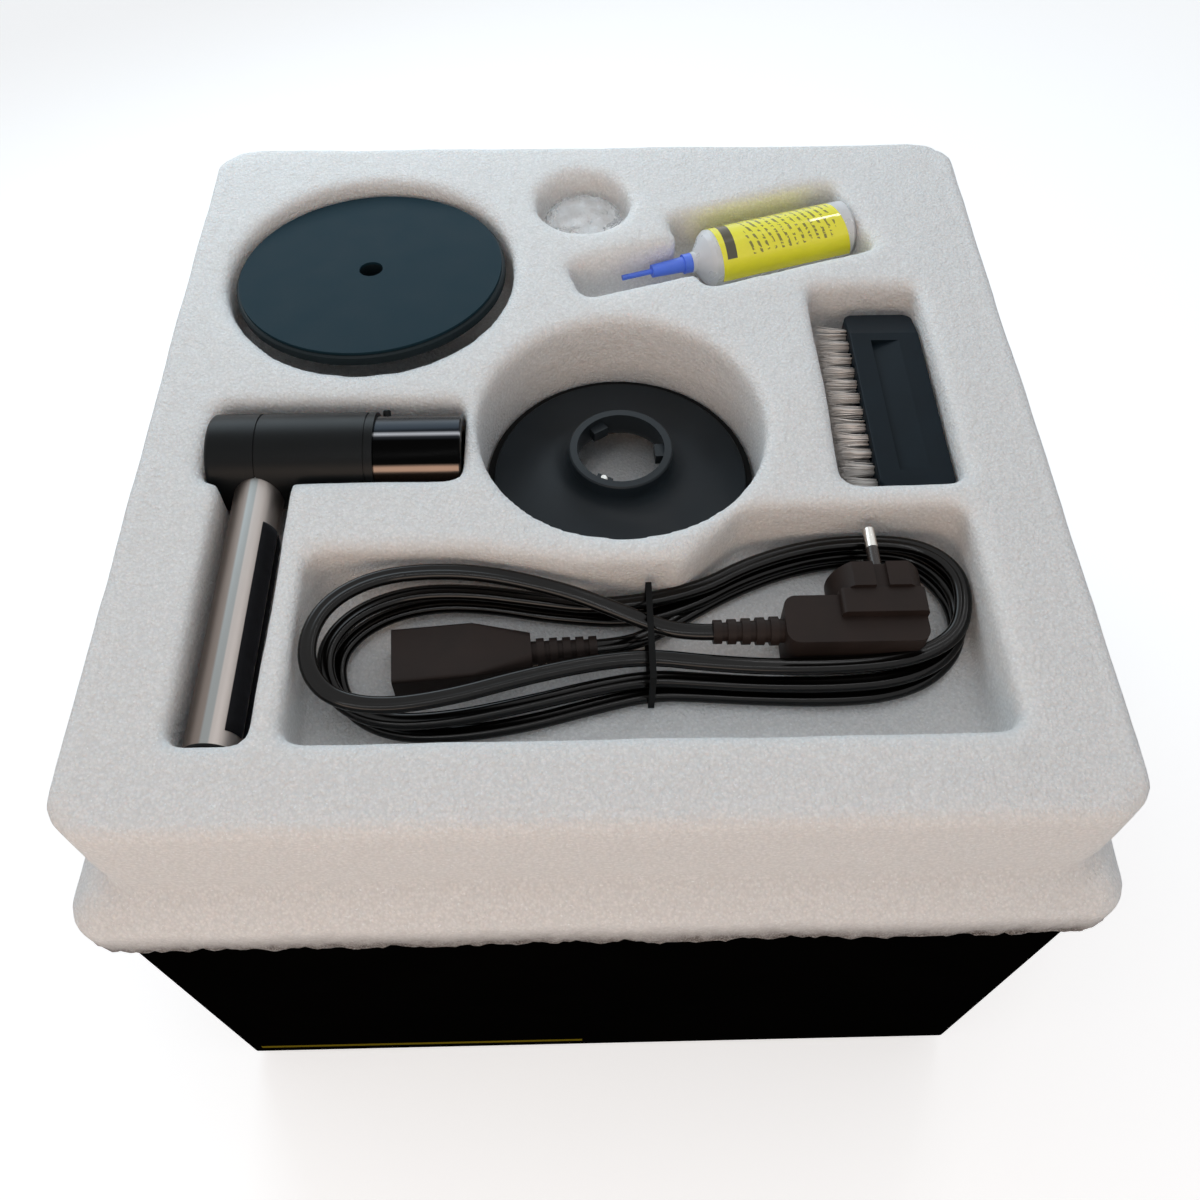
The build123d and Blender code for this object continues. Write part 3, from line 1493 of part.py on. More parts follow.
with BuildPart() as tube_plug:
    with BuildSketch(Plane.XZ.offset(-tube_front_y)):
        with Locations((tube_x, arm_z)):
            Circle(tube_r)
    extrude(amount=tube_plug_flange)
    with BuildSketch(Plane.XZ.offset(-tube_front_y)):
        with Locations((tube_x, arm_z)):
            Circle(tube_bore_r - run_gap)
    extrude(amount=-tube_plug_len)
save(tube_plug, "tube_plug")

# ================================================================ brush
brush_y = (brush_y0 + brush_y1) / 2
brush_mid_z = rest_z + brush_h / 2
brush_top_z = rest_z + brush_h
tuft_plane = Plane(origin=(brush_x0, tuft_y, brush_mid_z), x_dir=(0, 1, 0), z_dir=(1, 0, 0))


def tuft_grid():
    return GridLocations(tuft_pitch, tuft_row_pitch, tuft_count, tuft_rows)


with BuildPart() as brush_handle:
    with BuildSketch(Plane.XY.offset(rest_z)):
        with Locations(((brush_x0 + brush_x1) / 2, brush_y)):
            RectangleRounded(brush_x1 - brush_x0, brush_y1 - brush_y0, brush_corner_r)
    extrude(amount=brush_h)
    with BuildSketch(Plane.YZ.offset(brush_x0 - 1)):
        with BuildLine():
            Polyline(
                (brush_y1 - brush_slope_len, brush_top_z),
                (brush_y1 + 1, brush_top_z - brush_slope_drop * (1 + 1 / brush_slope_len)),
                (brush_y1 + 1, brush_top_z + 1),
                (brush_y1 - brush_slope_len, brush_top_z + 1),
                close=True,
            )
        make_face()
    extrude(amount=brush_x1 - brush_x0 + 2, mode=Mode.SUBTRACT)
    top_faces = brush_handle.faces().filter_by(lambda face: face.normal_at().Z > 0.9)
    top_edges = top_faces.sort_by(Axis.Y)[0].edges() + top_faces.sort_by(Axis.Y)[-1].edges()
    fillet(top_edges, brush_edge_r)
    with BuildSketch(Plane(origin=(0, recess_y1, 0), x_dir=(1, 0, 0), z_dir=(0, -1, 0))):
        with BuildLine():
            Polyline(
                (recess_x0, brush_top_z),
                (recess_x0, brush_top_z - recess_depth),
                (recess_x0 + recess_w, brush_top_z),
                close=True,
            )
        make_face()
    extrude(amount=recess_len, mode=Mode.SUBTRACT)
    with BuildSketch(tuft_plane):
        with tuft_grid():
            Circle(tuft_r + run_gap)
    extrude(amount=tuft_socket, mode=Mode.SUBTRACT)
save(brush_handle, "brush_handle")

with BuildPart() as brush_tufts:
    with BuildSketch(tuft_plane.offset(tuft_socket)):
        with tuft_grid():
            Circle(tuft_r)
    extrude(amount=-(tuft_len + tuft_socket))
save(brush_tufts, "brush_tufts")

# ================================================================ bottle
bottle_z = foam_top_z - bottle_pit_depth + soft_gap + bottle_r
bottle_origin = (*bottle_spot(0, bottle_v), bottle_z)
bottle_plane = Plane(origin=bottle_origin, x_dir=(along.X, along.Y, 0), z_dir=(0, 0, 1))
bottle_axis = Axis(bottle_origin, (along.X, along.Y, 0))
neck_u = bottle_u0 - shoulder_len
mouth_u = neck_u - neck_len

with BuildPart() as bottle_body:
    with BuildSketch(bottle_plane):
        with BuildLine():
            Polyline(
                (mouth_u, neck_bore_r),
                (mouth_u, neck_r),
                (neck_u, neck_r),
                (bottle_u0 - bottle_neckline, bottle_r - bottle_shoulder_in),
                (bottle_u0, bottle_r),
                (bottle_u1 - bottle_base_r, bottle_r),
                (bottle_u1, bottle_r - bottle_base_r),
                (bottle_u1, 0),
                (bottle_u1 - bottle_wall, 0),
                (bottle_u1 - bottle_wall, bottle_r - bottle_base_r),
                (bottle_u1 - bottle_base_r, bottle_r - bottle_wall),
                (bottle_u0 + bottle_wall, bottle_r - bottle_wall),
                (neck_u + bottle_wall, neck_bore_r),
                close=True,
            )
        make_face()
    revolve(axis=bottle_axis)
save(bottle_body, "bottle_body")

with BuildPart() as bottle_label:
    with BuildSketch(Plane(origin=bottle_origin, x_dir=(across.X, across.Y, 0), z_dir=(along.X, along.Y, 0))
                     .offset(bottle_u0 + label_margin)):
        Circle(bottle_r + label_t)
        Circle(bottle_r, mode=Mode.SUBTRACT)
        with BuildSketch(mode=Mode.SUBTRACT):
            with BuildLine():
                low = math.radians(label_half_angle)
                reach = 3 * bottle_r
                Polyline(
                    (0, 0),
                    (reach * math.sin(low), reach * math.cos(low)),
                    (0, -reach),
                    (-reach * math.sin(low), reach * math.cos(low)),
                    close=True,
                )
            make_face()
    extrude(amount=bottle_u1 - bottle_base_r - bottle_u0 - 2 * label_margin)
save(bottle_label, "bottle_label")

with BuildPart() as bottle_nozzle:
    hub_u = mouth_u - nozzle_skirt_len
    tip_u = hub_u - nozzle_hub_len
    with BuildSketch(bottle_plane):
        with BuildLine():
            Polyline(
                (mouth_u + nozzle_plug_len, 0),
                (mouth_u + nozzle_plug_len, neck_bore_r - run_gap),
                (mouth_u, neck_bore_r - run_gap),
                (mouth_u, nozzle_skirt_r),
                (hub_u, nozzle_skirt_r),
                (hub_u, nozzle_hub_r),
                (tip_u, nozzle_hub_tip_r),
                (tip_u, nozzle_tip_r),
                (tip_u - nozzle_tip_len, nozzle_tip_r),
                (tip_u - nozzle_tip_len, 0),
                close=True,
            )
        make_face()
    revolve(axis=bottle_axis)
save(bottle_nozzle, "bottle_nozzle")

# ================================================================ small parts bag
with BuildPart() as parts_bag:
    with BuildSketch(Plane.XY.offset(foam_top_z - bag_pit_depth + soft_gap)):
        with Locations((bag_x, bag_y)):
            Circle(bag_r)
    extrude(amount=bag_h, taper=bag_taper)
    fillet(parts_bag.faces().sort_by(Axis.Z)[-1].edges(), 4)
save(parts_bag, "parts_bag")

# ================================================================ mains cord
waist_x0 = waist_x - waist_len / 2
waist_x1 = waist_x + waist_len / 2
with BuildSketch() as hank_plan:
    with BuildLine():
        FilletPolyline(
            (hank_x0, hank_front_left_y),
            (loop_left_x, hank_front_left_y),
            (waist_x0, waist_front_y),
            (waist_x1, waist_front_y),
            (loop_right_x, hank_front_right_y),
            (hank_x1, hank_front_right_y),
            (hank_x1, hank_back_right_y),
            (loop_right_x, hank_back_right_y),
            (waist_x1, waist_back_y),
            (waist_x0, waist_back_y),
            (loop_left_x, hank_back_left_y),
            (hank_x0, hank_back_left_y),
            radius=hank_turns,
            close=True,
        )
    make_face()
    with BuildLine():
        FilletPolyline(
            (hank_x0 + bundle_w, hank_front_left_y + bundle_w),
            (loop_left_x, hank_front_left_y + bundle_w),
            (waist_x0, waist_front_y + bundle_w),
            (waist_x0, waist_back_y - bundle_w),
            (loop_left_x, hank_back_left_y - bundle_w),
            (hank_x0 + bundle_w, hank_back_left_y - bundle_w),
            radius=[hole_r, hole_r, nip_r, nip_r, hole_r, hole_r],
            close=True,
        )
    make_face(mode=Mode.SUBTRACT)
    with BuildLine():
        FilletPolyline(
            (waist_x1, waist_front_y + bundle_w),
            (loop_right_x, hank_front_right_y + bundle_w),
            (hank_x1 - bundle_w, hank_front_right_y + bundle_w),
            (hank_x1 - bundle_w, hank_back_right_y - bundle_w),
            (loop_right_x - bundle_w / 2, hank_back_right_y - bundle_w),
            (waist_x1, waist_back_y - bundle_w),
            radius=[nip_r, hole_r, hole_r, hole_r, hole_r, nip_r],
            close=True,
        )
    make_face(mode=Mode.SUBTRACT)

with BuildPart() as cord_hank:
    with BuildSketch(Plane.XY.offset(hank_z)):
        add(hank_plan.sketch)
    extrude(amount=waist_layers * layer_h)
    with BuildSketch(Plane.XY.offset(waist_top_z)):
        add(hank_plan.sketch)
        with Locations(((step_left_x + step_right_x) / 2, (waist_front_y + waist_back_y) / 2)):
            Rectangle(step_right_x - step_left_x, hank_x1, mode=Mode.SUBTRACT)
    extrude(amount=(loop_layers - waist_layers) * layer_h)
    with BuildSketch(Plane.XY.offset(hank_z)):
        with Locations((waist_x, (waist_front_y + waist_back_y) / 2)):
            Rectangle(tie_w + 2 * tie_gap, waist_back_y - waist_front_y)
    extrude(amount=tie_t + tie_gap, mode=Mode.SUBTRACT)
    with BuildSketch(Plane.XY.offset(hank_z)):
        with Locations((plug_x, (plug_face_y + hank_back_right_y + notch_past) / 2)):
            Rectangle(2 * (plug_pin_r + pin_room), hank_back_right_y + notch_past - plug_face_y)
    extrude(amount=plug_z - plug_pin_pitch / 2 + plug_pin_r + pin_room - hank_z, mode=Mode.SUBTRACT)
save(cord_hank, "cord_hank")


def lead(points, label):
    """An uncoiled stretch of cord: straight runs with rounded turns."""
    corners = [Vector(*point) for point in points]
    radii = []
    for before, corner, after in zip(corners, corners[1:], corners[2:]):
        shorter = min((corner - before).length, (after - corner).length)
        half_turn = math.radians((corner - before).get_angle(after - corner)) / 2
        radii.append(run_share * shorter / math.tan(half_turn))
    print(label, "bend radii", [round(radius, 1) for radius in radii])
    with BuildPart() as stretch:
        with BuildLine() as route:
            FilletPolyline(*points, radius=radii)
        path = route.wires()[0]
        with BuildSketch(Plane(origin=path @ 0, z_dir=path % 0)):
            Circle(cord_r)
        sweep(path=path)
    save(stretch, label)


lead(plug_lead_points, "plug_lead")
lead([(c13_end.X, c13_end.Y, c13_end.Z), *connector_lead_points], "connector_lead")


def strain_relief(start, way, length):
    """A ribbed sleeve where the cord leaves its plug."""
    pitch = length / relief_ribs
    step = (relief_r - relief_end_r) / relief_ribs
    outline = [(0, 0)]
    for index in range(relief_ribs):
        rib_r = relief_r - index * step
        outline += [
            (index * pitch, rib_r - relief_groove),
            ((index + relief_slot) * pitch, rib_r - relief_groove),
            ((index + relief_slot) * pitch, rib_r),
            ((index + 1) * pitch, rib_r),
        ]
    outline.append((length, 0))
    with BuildSketch(Plane(origin=start, x_dir=way, z_dir=(0, 0, 1))) as half:
        with BuildLine():
            Polyline(*outline, close=True)
        make_face()
    revolve(half.sketch, axis=Axis(start, way))


def c13_plane(spot):
    """A plane across the connector, facing its cord."""
    return Plane(origin=spot, x_dir=(-c13_way.Y, c13_way.X, 0), z_dir=c13_way)


with BuildPart() as c13_connector:
    with BuildSketch(c13_plane(c13_front)):
        RectangleRounded(c13_block_w, c13_block_h, c13_edge_r)
    extrude(amount=c13_block_len)
    with BuildSketch(c13_plane(c13_grip)):
        RectangleRounded(c13_block_w, c13_block_h, c13_edge_r)
    with BuildSketch(c13_plane(c13_relief)):
        RectangleRounded(c13_grip_end_w, c13_grip_end_h, 3 * c13_edge_r)
    loft()
    strain_relief(c13_relief, c13_way, relief_len)
    with BuildSketch(c13_plane(c13_front)):
        with Locations(
            (-c13_hole_pitch, -c13_hole_rise), (c13_hole_pitch, -c13_hole_rise), (0, c13_hole_rise)
        ):
            Rectangle(c13_hole_w, c13_hole_h)
    extrude(amount=c13_hole_depth, mode=Mode.SUBTRACT)
save(c13_connector, "c13_connector")

plug_plane = Plane(origin=(plug_x, plug_face_y, plug_z), x_dir=(1, 0, 0), z_dir=(0, -1, 0))
shoulder_y = plug_face_y - plug_face_t
with BuildPart() as schuko_plug:
    with BuildSketch(plug_plane):
        Circle(plug_face_r)
        Rectangle(2 * plug_face_r, 2 * plug_flat, mode=Mode.INTERSECT)
        with Locations((0, plug_flat), (0, -plug_flat)):
            Rectangle(plug_groove_w, 2 * plug_groove_d, mode=Mode.SUBTRACT)
    extrude(amount=plug_face_t)
    with BuildSketch(plug_plane.offset(plug_face_t)):
        RectangleRounded(2 * (plug_face_r - plug_groove_d), plug_shoulder_h, plug_edge_r)
    extrude(amount=plug_shoulder_d)
    with BuildSketch(Plane.XY.offset(plug_z - plug_back_h / 2)):
        with Locations(((plug_back_x0 + plug_back_x1) / 2, (shoulder_y - 1 + plug_back_y0) / 2)):
            RectangleRounded(plug_back_x1 - plug_back_x0, shoulder_y - 1 - plug_back_y0, plug_back_r)
    extrude(amount=plug_back_h)
    strain_relief(
        Vector(plug_back_x0, plug_relief_y, plug_relief_z), Vector(-1, 0, 0), plug_relief_len
    )
    with BuildSketch(plug_plane):
        with Locations((0, plug_pin_pitch / 2), (0, -plug_pin_pitch / 2)):
            Circle(plug_pin_r + run_gap)
    extrude(amount=plug_pin_seat, mode=Mode.SUBTRACT)
save(schuko_plug, "schuko_plug")

with BuildPart() as schuko_pins:
    with BuildSketch(plug_plane.offset(plug_pin_seat)):
        with Locations((0, plug_pin_pitch / 2), (0, -plug_pin_pitch / 2)):
            Circle(plug_pin_r)
    extrude(amount=-(plug_pin_len + plug_pin_seat))
save(schuko_pins, "schuko_pins")

with BuildPart() as cord_tie:
    tie_low_z = hank_z
    tie_top_z = over_waist_z + cord_r + tie_slack + tie_t
    with BuildSketch(Plane.YZ.offset(waist_x)):
        with Locations(((waist_front_y + waist_back_y) / 2, (tie_low_z + tie_top_z) / 2)):
            Rectangle(waist_back_y - waist_front_y + 2 * tie_t, tie_top_z - tie_low_z)
            Rectangle(waist_back_y - waist_front_y, tie_top_z - tie_low_z - 2 * tie_t, mode=Mode.SUBTRACT)
    extrude(amount=tie_w / 2, both=True)
save(cord_tie, "cord_tie")
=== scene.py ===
"""Looks of the record cleaning machine in its foam transit cap. Metres, +Z up, in the CAD frame."""

import math
import random

import bmesh
import bpy
import numpy as np
from mathutils import Matrix, Vector, noise


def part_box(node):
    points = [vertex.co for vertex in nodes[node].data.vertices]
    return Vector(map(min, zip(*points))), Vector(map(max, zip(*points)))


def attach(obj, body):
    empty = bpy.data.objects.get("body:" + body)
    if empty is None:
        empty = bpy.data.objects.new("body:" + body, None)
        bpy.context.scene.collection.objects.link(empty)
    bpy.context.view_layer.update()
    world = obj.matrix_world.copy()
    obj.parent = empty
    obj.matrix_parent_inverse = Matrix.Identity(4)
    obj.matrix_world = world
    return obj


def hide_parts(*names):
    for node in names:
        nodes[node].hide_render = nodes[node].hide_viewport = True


MM = 0.001

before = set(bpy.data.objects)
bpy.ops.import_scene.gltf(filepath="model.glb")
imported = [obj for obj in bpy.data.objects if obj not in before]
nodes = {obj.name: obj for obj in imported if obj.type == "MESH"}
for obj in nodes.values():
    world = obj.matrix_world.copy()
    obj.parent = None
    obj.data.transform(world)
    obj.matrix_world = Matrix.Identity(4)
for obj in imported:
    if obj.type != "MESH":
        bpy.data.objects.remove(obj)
bpy.context.view_layer.update()


# ---------------------------------------------------------------- camera
CAMERA_PLACE = (-0.00523397, -0.32242687, 0.65039345)
CAMERA_PITCH = math.radians(56.43476528)    # how far it looks down
CAMERA_YAW = math.radians(1.550586)         # turned towards +X
CAMERA_ROLL = math.radians(0.31596453)
FOCAL_PIXELS = 1103.68
IMAGE_PIXELS = 1200
SENSOR = 36.0


def add_camera():
    ahead = Vector((
        math.sin(CAMERA_YAW) * math.cos(CAMERA_PITCH),
        math.cos(CAMERA_YAW) * math.cos(CAMERA_PITCH),
        -math.sin(CAMERA_PITCH),
    ))
    right = ahead.cross(Vector((0, 0, 1))).normalized()
    up = right.cross(ahead)
    rolled_right = right * math.cos(CAMERA_ROLL) + up * math.sin(CAMERA_ROLL)
    rolled_up = up * math.cos(CAMERA_ROLL) - right * math.sin(CAMERA_ROLL)
    lens = bpy.data.cameras.new("camera")
    lens.sensor_width = SENSOR
    lens.sensor_fit = "HORIZONTAL"
    lens.lens = FOCAL_PIXELS / IMAGE_PIXELS * SENSOR
    lens.clip_start = 0.01
    camera = bpy.data.objects.new("camera", lens)
    turn = Matrix((rolled_right, rolled_up, -ahead)).transposed()
    camera.matrix_world = Matrix.Translation(CAMERA_PLACE) @ turn.to_4x4()
    bpy.context.scene.collection.objects.link(camera)
    bpy.context.scene.camera = camera


# ---------------------------------------------------------------- node graphs
def graph(name):
    """A new material: its tree, its shader and the place on the object."""
    material = bpy.data.materials.new(name)
    material.use_nodes = True
    tree = material.node_tree
    place = tree.nodes.new("ShaderNodeTexCoord").outputs["Object"]
    return material, tree, tree.nodes["Principled BSDF"], place


def stretched(tree, place, stretch=(1, 1, 1), turn=0.0):
    mapping = tree.nodes.new("ShaderNodeMapping")
    mapping.inputs["Rotation"].default_value = (0, 0, turn)
    mapping.inputs["Scale"].default_value = stretch
    tree.links.new(place, mapping.inputs["Vector"])
    return mapping.outputs["Vector"]


def grain(tree, place, size, detail=3.0, roughness=0.55):
    """Cloudy noise whose features are about that size in metres."""
    texture = tree.nodes.new("ShaderNodeTexNoise")
    texture.inputs["Scale"].default_value = 1 / size
    texture.inputs["Detail"].default_value = detail
    texture.inputs["Roughness"].default_value = roughness
    tree.links.new(place, texture.inputs["Vector"])
    return texture.outputs["Fac"]


def cells(tree, place, size, feature="F1"):
    """Distances in a cell pattern, each cell about that size in metres."""
    texture = tree.nodes.new("ShaderNodeTexVoronoi")
    texture.feature = feature
    texture.inputs["Scale"].default_value = 1 / size
    tree.links.new(place, texture.inputs["Vector"])
    return texture.outputs["Distance"]


def ranged(tree, value, low, high, to_low=0.0, to_high=1.0):
    """The value, stretched and held so that low gives to_low and high gives to_high."""
    node = tree.nodes.new("ShaderNodeMapRange")
    for socket, number in zip(("From Min", "From Max", "To Min", "To Max"), (low, high, to_low, to_high)):
        node.inputs[socket].default_value = number
    tree.links.new(value, node.inputs["Value"])
    return node.outputs["Result"]


def maths(tree, operation, *values):
    node = tree.nodes.new("ShaderNodeMath")
    node.operation = operation
    for index, value in enumerate(values):
        if isinstance(value, (int, float)):
            node.inputs[index].default_value = value
        else:
            tree.links.new(value, node.inputs[index])
    return node.outputs["Value"]


def between(tree, value, low, high):
    """1 where the value lies between the two, else 0."""
    above = maths(tree, "GREATER_THAN", value, low)
    return maths(tree, "MULTIPLY", above, maths(tree, "LESS_THAN", value, high))


def mixed(tree, share, low, high):
    """A colour between two colours or colour sockets."""
    node = tree.nodes.new("ShaderNodeMix")
    node.data_type = "RGBA"
    tree.links.new(share, node.inputs["Factor"])
    for socket, colour in ((node.inputs[6], low), (node.inputs[7], high)):
        if isinstance(colour, tuple):
            socket.default_value = (*colour, 1)
        else:
            tree.links.new(colour, socket)
    return node.outputs[2]


def bumped(tree, height, depth, below=None):
    node = tree.nodes.new("ShaderNodeBump")
    node.inputs["Distance"].default_value = depth
    tree.links.new(height, node.inputs["Height"])
    if below is not None:
        tree.links.new(below, node.inputs["Normal"])
    return node.outputs["Normal"]


def axis_of(tree, place, axis):
    node = tree.nodes.new("ShaderNodeSeparateXYZ")
    tree.links.new(place, node.inputs["Vector"])
    return node.outputs[axis]


def shade(colour, factor):
    return tuple(channel * factor for channel in colour)


def moulded(name, colour, roughness, pebble=0.9 * MM, depth=0.04 * MM, vary=0.25, stretch=(1, 1, 1),
            metallic=0.0, coat=0.0, sheen=0.0, specular=0.5, rough_vary=0.08):
    """Moulded, cast or drawn stuff: a fine grain, cloudy wear in colour and gloss."""
    material, tree, shader, place = graph(name)
    drawn = stretched(tree, place, stretch)
    cloud = grain(tree, drawn, 40 * pebble, 4)
    fine = grain(tree, drawn, pebble, 2)
    tone = mixed(tree, ranged(tree, cloud, 0.35, 0.65), shade(colour, 1 - vary), shade(colour, 1 + vary))
    tree.links.new(tone, shader.inputs["Base Color"])
    gloss = ranged(tree, cloud, 0.3, 0.7, roughness - rough_vary, roughness + rough_vary)
    tree.links.new(gloss, shader.inputs["Roughness"])
    tree.links.new(bumped(tree, fine, depth), shader.inputs["Normal"])
    shader.inputs["Metallic"].default_value = metallic
    shader.inputs["Coat Weight"].default_value = coat
    shader.inputs["Sheen Weight"].default_value = sheen
    shader.inputs["Specular IOR Level"].default_value = specular
    return material


# ---------------------------------------------------------------- finishes by material slot
FOAM_COLOUR = (0.91, 0.885, 0.865)
FOAM_GLINT = (0.97, 0.97, 0.97)
FOAM_CELL = 1.3 * MM        # the sizes of the foam's cells, and of the noises over them
FOAM_CLOUD = 5 * MM
FOAM_FUZZ = 0.7 * MM
FOAM_SPECK = 1.6 * MM
FOAM_GLITTER = 1.0 * MM
TORN_SHADE_TOP = 0.2440           # the cap's colour starts to darken here, towards its torn lower edge: partly the torn foam's own dark, partly painted shade where the edge turns under
TORN_SHADE_LOW = 0.2270           # and is darkest here
TORN_SHADE_CLOUD = 6 * MM         # the most that the clouds and the fuzz lift a place by
TORN_SHADE_FUZZ = 5 * MM
TORN_SHADE_LIFT = 5.5 * MM        # what the two lift it by on average, taken off again
TORN_SHADE_FADE = 1.3             # the power that the darkening rises with
TORN_AND_SHADE_COLOUR = (0.07, 0.052, 0.042)


def foam_finish():
    """Expanded polyethylene: a mat of small closed cells that glitter."""
    material, tree, shader, place = graph("foam_white")
    cell = cells(tree, place, FOAM_CELL)
    cloud = grain(tree, place, FOAM_CLOUD, 4)
    fuzz = grain(tree, place, FOAM_FUZZ, 3)
    speck = grain(tree, place, FOAM_SPECK, 3)
    patch = ranged(tree, maths(tree, "ADD", maths(tree, "MULTIPLY", cell, 0.6), speck), 0.45, 0.95)
    tone = mixed(tree, patch, FOAM_COLOUR, shade(FOAM_COLOUR, 0.86))
    glitter = ranged(tree, grain(tree, place, FOAM_GLITTER, 1), 0.68, 0.76)
    tone = mixed(tree, glitter, tone, FOAM_GLINT)
    # painted shade mixed with the torn foam's own dark, growing towards the lower edge
    height = maths(tree, "ADD", axis_of(tree, place, "Z"), maths(tree, "MULTIPLY", cloud, TORN_SHADE_CLOUD))
    height = maths(tree, "ADD", height, maths(tree, "MULTIPLY", fuzz, TORN_SHADE_FUZZ))
    toward_lower_edge = ranged(tree, height, TORN_SHADE_TOP + TORN_SHADE_LIFT, TORN_SHADE_LOW + TORN_SHADE_LIFT)
    toward_lower_edge = maths(tree, "POWER", toward_lower_edge, TORN_SHADE_FADE)
    torn_shade_mottle = ranged(tree, fuzz, 0.25, 0.6, 0.55, 1.0)
    tone = mixed(tree, maths(tree, "MULTIPLY", toward_lower_edge, torn_shade_mottle), tone, TORN_AND_SHADE_COLOUR)
    tree.links.new(tone, shader.inputs["Base Color"])
    relief = bumped(tree, cloud, 1.0 * MM)
    relief = bumped(tree, cell, -0.5 * MM, relief)
    relief = bumped(tree, fuzz, 0.35 * MM, relief)
    tree.links.new(relief, shader.inputs["Normal"])
    tree.links.new(ranged(tree, glitter, 0, 1, 0.65, 0.30), shader.inputs["Roughness"])
    shader.inputs["Specular IOR Level"].default_value = 0.15
    shader.inputs["Subsurface Weight"].default_value = 0.5
    shader.inputs["Subsurface Radius"].default_value = (1.0, 0.86, 0.78)
    shader.inputs["Subsurface Scale"].default_value = 10 * MM
    return material


def velvet_finish():
    """Short black pile."""
    material = moulded("velvet_black", (0.006, 0.006, 0.007), 0.85, 0.4 * MM, 0.25 * MM, sheen=0.25,
                       specular=0.06)
    shader = material.node_tree.nodes["Principled BSDF"]
    shader.inputs["Sheen Roughness"].default_value = 0.4
    shader.inputs["Sheen Tint"].default_value = (0.25, 0.25, 0.28, 1)
    return material


def film_finish(name, tint, roughness, wrinkle, depth, transmission=0.9, ior=1.42):
    """Clear or milky plastic, with faint waves."""
    material, tree, shader, place = graph(name)
    wave = grain(tree, place, wrinkle, 3)
    tone = mixed(tree, ranged(tree, wave, 0.3, 0.7), tint, shade(tint, 0.93))
    tree.links.new(tone, shader.inputs["Base Color"])
    tree.links.new(bumped(tree, wave, depth), shader.inputs["Normal"])
    tree.links.new(ranged(tree, wave, 0.3, 0.7, roughness, roughness + 0.08), shader.inputs["Roughness"])
    shader.inputs["Transmission Weight"].default_value = transmission
    shader.inputs["IOR"].default_value = ior
    return material


LABEL_TURN = math.radians(17.2)     # the bottle lies turned from +X towards +Y
LABEL_YELLOW = (0.93, 0.86, 0.012)
LABEL_INK = (0.045, 0.036, 0.004)
LABEL_LINES = (104 * MM, 150 * MM)      # the ruled lines, along the bottle
LABEL_BAR = (93 * MM, 98 * MM)
LABEL_EDGE_V = (76.6 * MM, 98.5 * MM)       # and across it
LABEL_SLANT = 0.35          # how far the lines lean
LABEL_PITCH = 3.7 * MM
LABEL_INKED = 0.36          # the inked share of each pitch


def label_finish():
    """Glossy yellow label with plain ruled lines round the bottle and a plain bar."""
    material, tree, shader, place = graph("label_yellow")
    along = stretched(tree, place, turn=-LABEL_TURN)
    u = axis_of(tree, along, "X")
    v = axis_of(tree, along, "Y")
    slant = maths(tree, "ADD", u, maths(tree, "MULTIPLY", v, LABEL_SLANT))
    stripe = maths(tree, "FRACT", maths(tree, "DIVIDE", slant, LABEL_PITCH))
    drawn = stretched(tree, place, (0.5, 1, 1), -LABEL_TURN)
    broken = ranged(tree, grain(tree, drawn, 1.3 * MM, 1), 0.44, 0.5)
    lines = maths(tree, "MULTIPLY", maths(tree, "LESS_THAN", stripe, LABEL_INKED), broken)
    across = between(tree, v, *LABEL_EDGE_V)
    ink = maths(tree, "MULTIPLY", maths(tree, "MULTIPLY", lines, between(tree, u, *LABEL_LINES)), across)
    bar = maths(tree, "MULTIPLY", between(tree, u, *LABEL_BAR), across)
    ink = maths(tree, "MAXIMUM", maths(tree, "MULTIPLY", ink, 0.8), bar)
    cloud = grain(tree, place, 12 * MM, 3)
    paper = mixed(tree, cloud, shade(LABEL_YELLOW, 0.93), shade(LABEL_YELLOW, 1.05))
    tree.links.new(mixed(tree, ink, paper, LABEL_INK), shader.inputs["Base Color"])
    tree.links.new(bumped(tree, cloud, 0.25 * MM), shader.inputs["Normal"])
    tree.links.new(ranged(tree, cloud, 0.3, 0.7, 0.12, 0.2), shader.inputs["Roughness"])
    shader.inputs["Specular IOR Level"].default_value = 0.3
    shader.inputs["Coat Weight"].default_value = 1.0
    shader.inputs["Coat Roughness"].default_value = 0.04
    return material


# the plain stripe low on the case's front face, which lies in front of this plane
FRONT_FACE_Y = -0.1893
STRIPE_Z = (0.0175, 0.0215)
STRIPE_X = (-0.183, -0.010)
STRIPE_COLOUR = (0.16, 0.12, 0.008)


def case_finish():
    """Black powder coat, with one plain printed stripe low on the front."""
    material = moulded("case_black", (0.0012, 0.0011, 0.0010), 0.7, 1.2 * MM, 0.05 * MM, vary=0.1,
                       rough_vary=0.04, specular=0.0)
    tree = material.node_tree
    shader = tree.nodes["Principled BSDF"]
    place = tree.nodes["Texture Coordinate"].outputs["Object"]
    x, y, z = (axis_of(tree, place, axis) for axis in "XYZ")
    mask = maths(tree, "LESS_THAN", y, FRONT_FACE_Y)
    mask = maths(tree, "MULTIPLY", mask, between(tree, z, *STRIPE_Z))
    mask = maths(tree, "MULTIPLY", mask, between(tree, x, *STRIPE_X))
    paint = shader.inputs["Base Color"].links[0].from_socket
    tree.links.new(mixed(tree, mask, paint, STRIPE_COLOUR), shader.inputs["Base Color"])
    return material


def board_finish():
    """Green circuit board with lighter tracks."""
    material, tree, shader, place = graph("board_green")
    tracks = maths(tree, "LESS_THAN", cells(tree, place, 6 * MM, "DISTANCE_TO_EDGE"), 0.06)
    tone = mixed(tree, tracks, (0.01, 0.09, 0.03), (0.05, 0.22, 0.09))
    tree.links.new(tone, shader.inputs["Base Color"])
    tree.links.new(bumped(tree, tracks, 0.05 * MM), shader.inputs["Normal"])
    shader.inputs["Roughness"].default_value = 0.35
    return material


PLUG_COLOUR = (0.019, 0.0125, 0.0105)
PIN_BRIGHT = 9 * MM         # the bright length at each pin's tip; a dark sleeve covers the rest


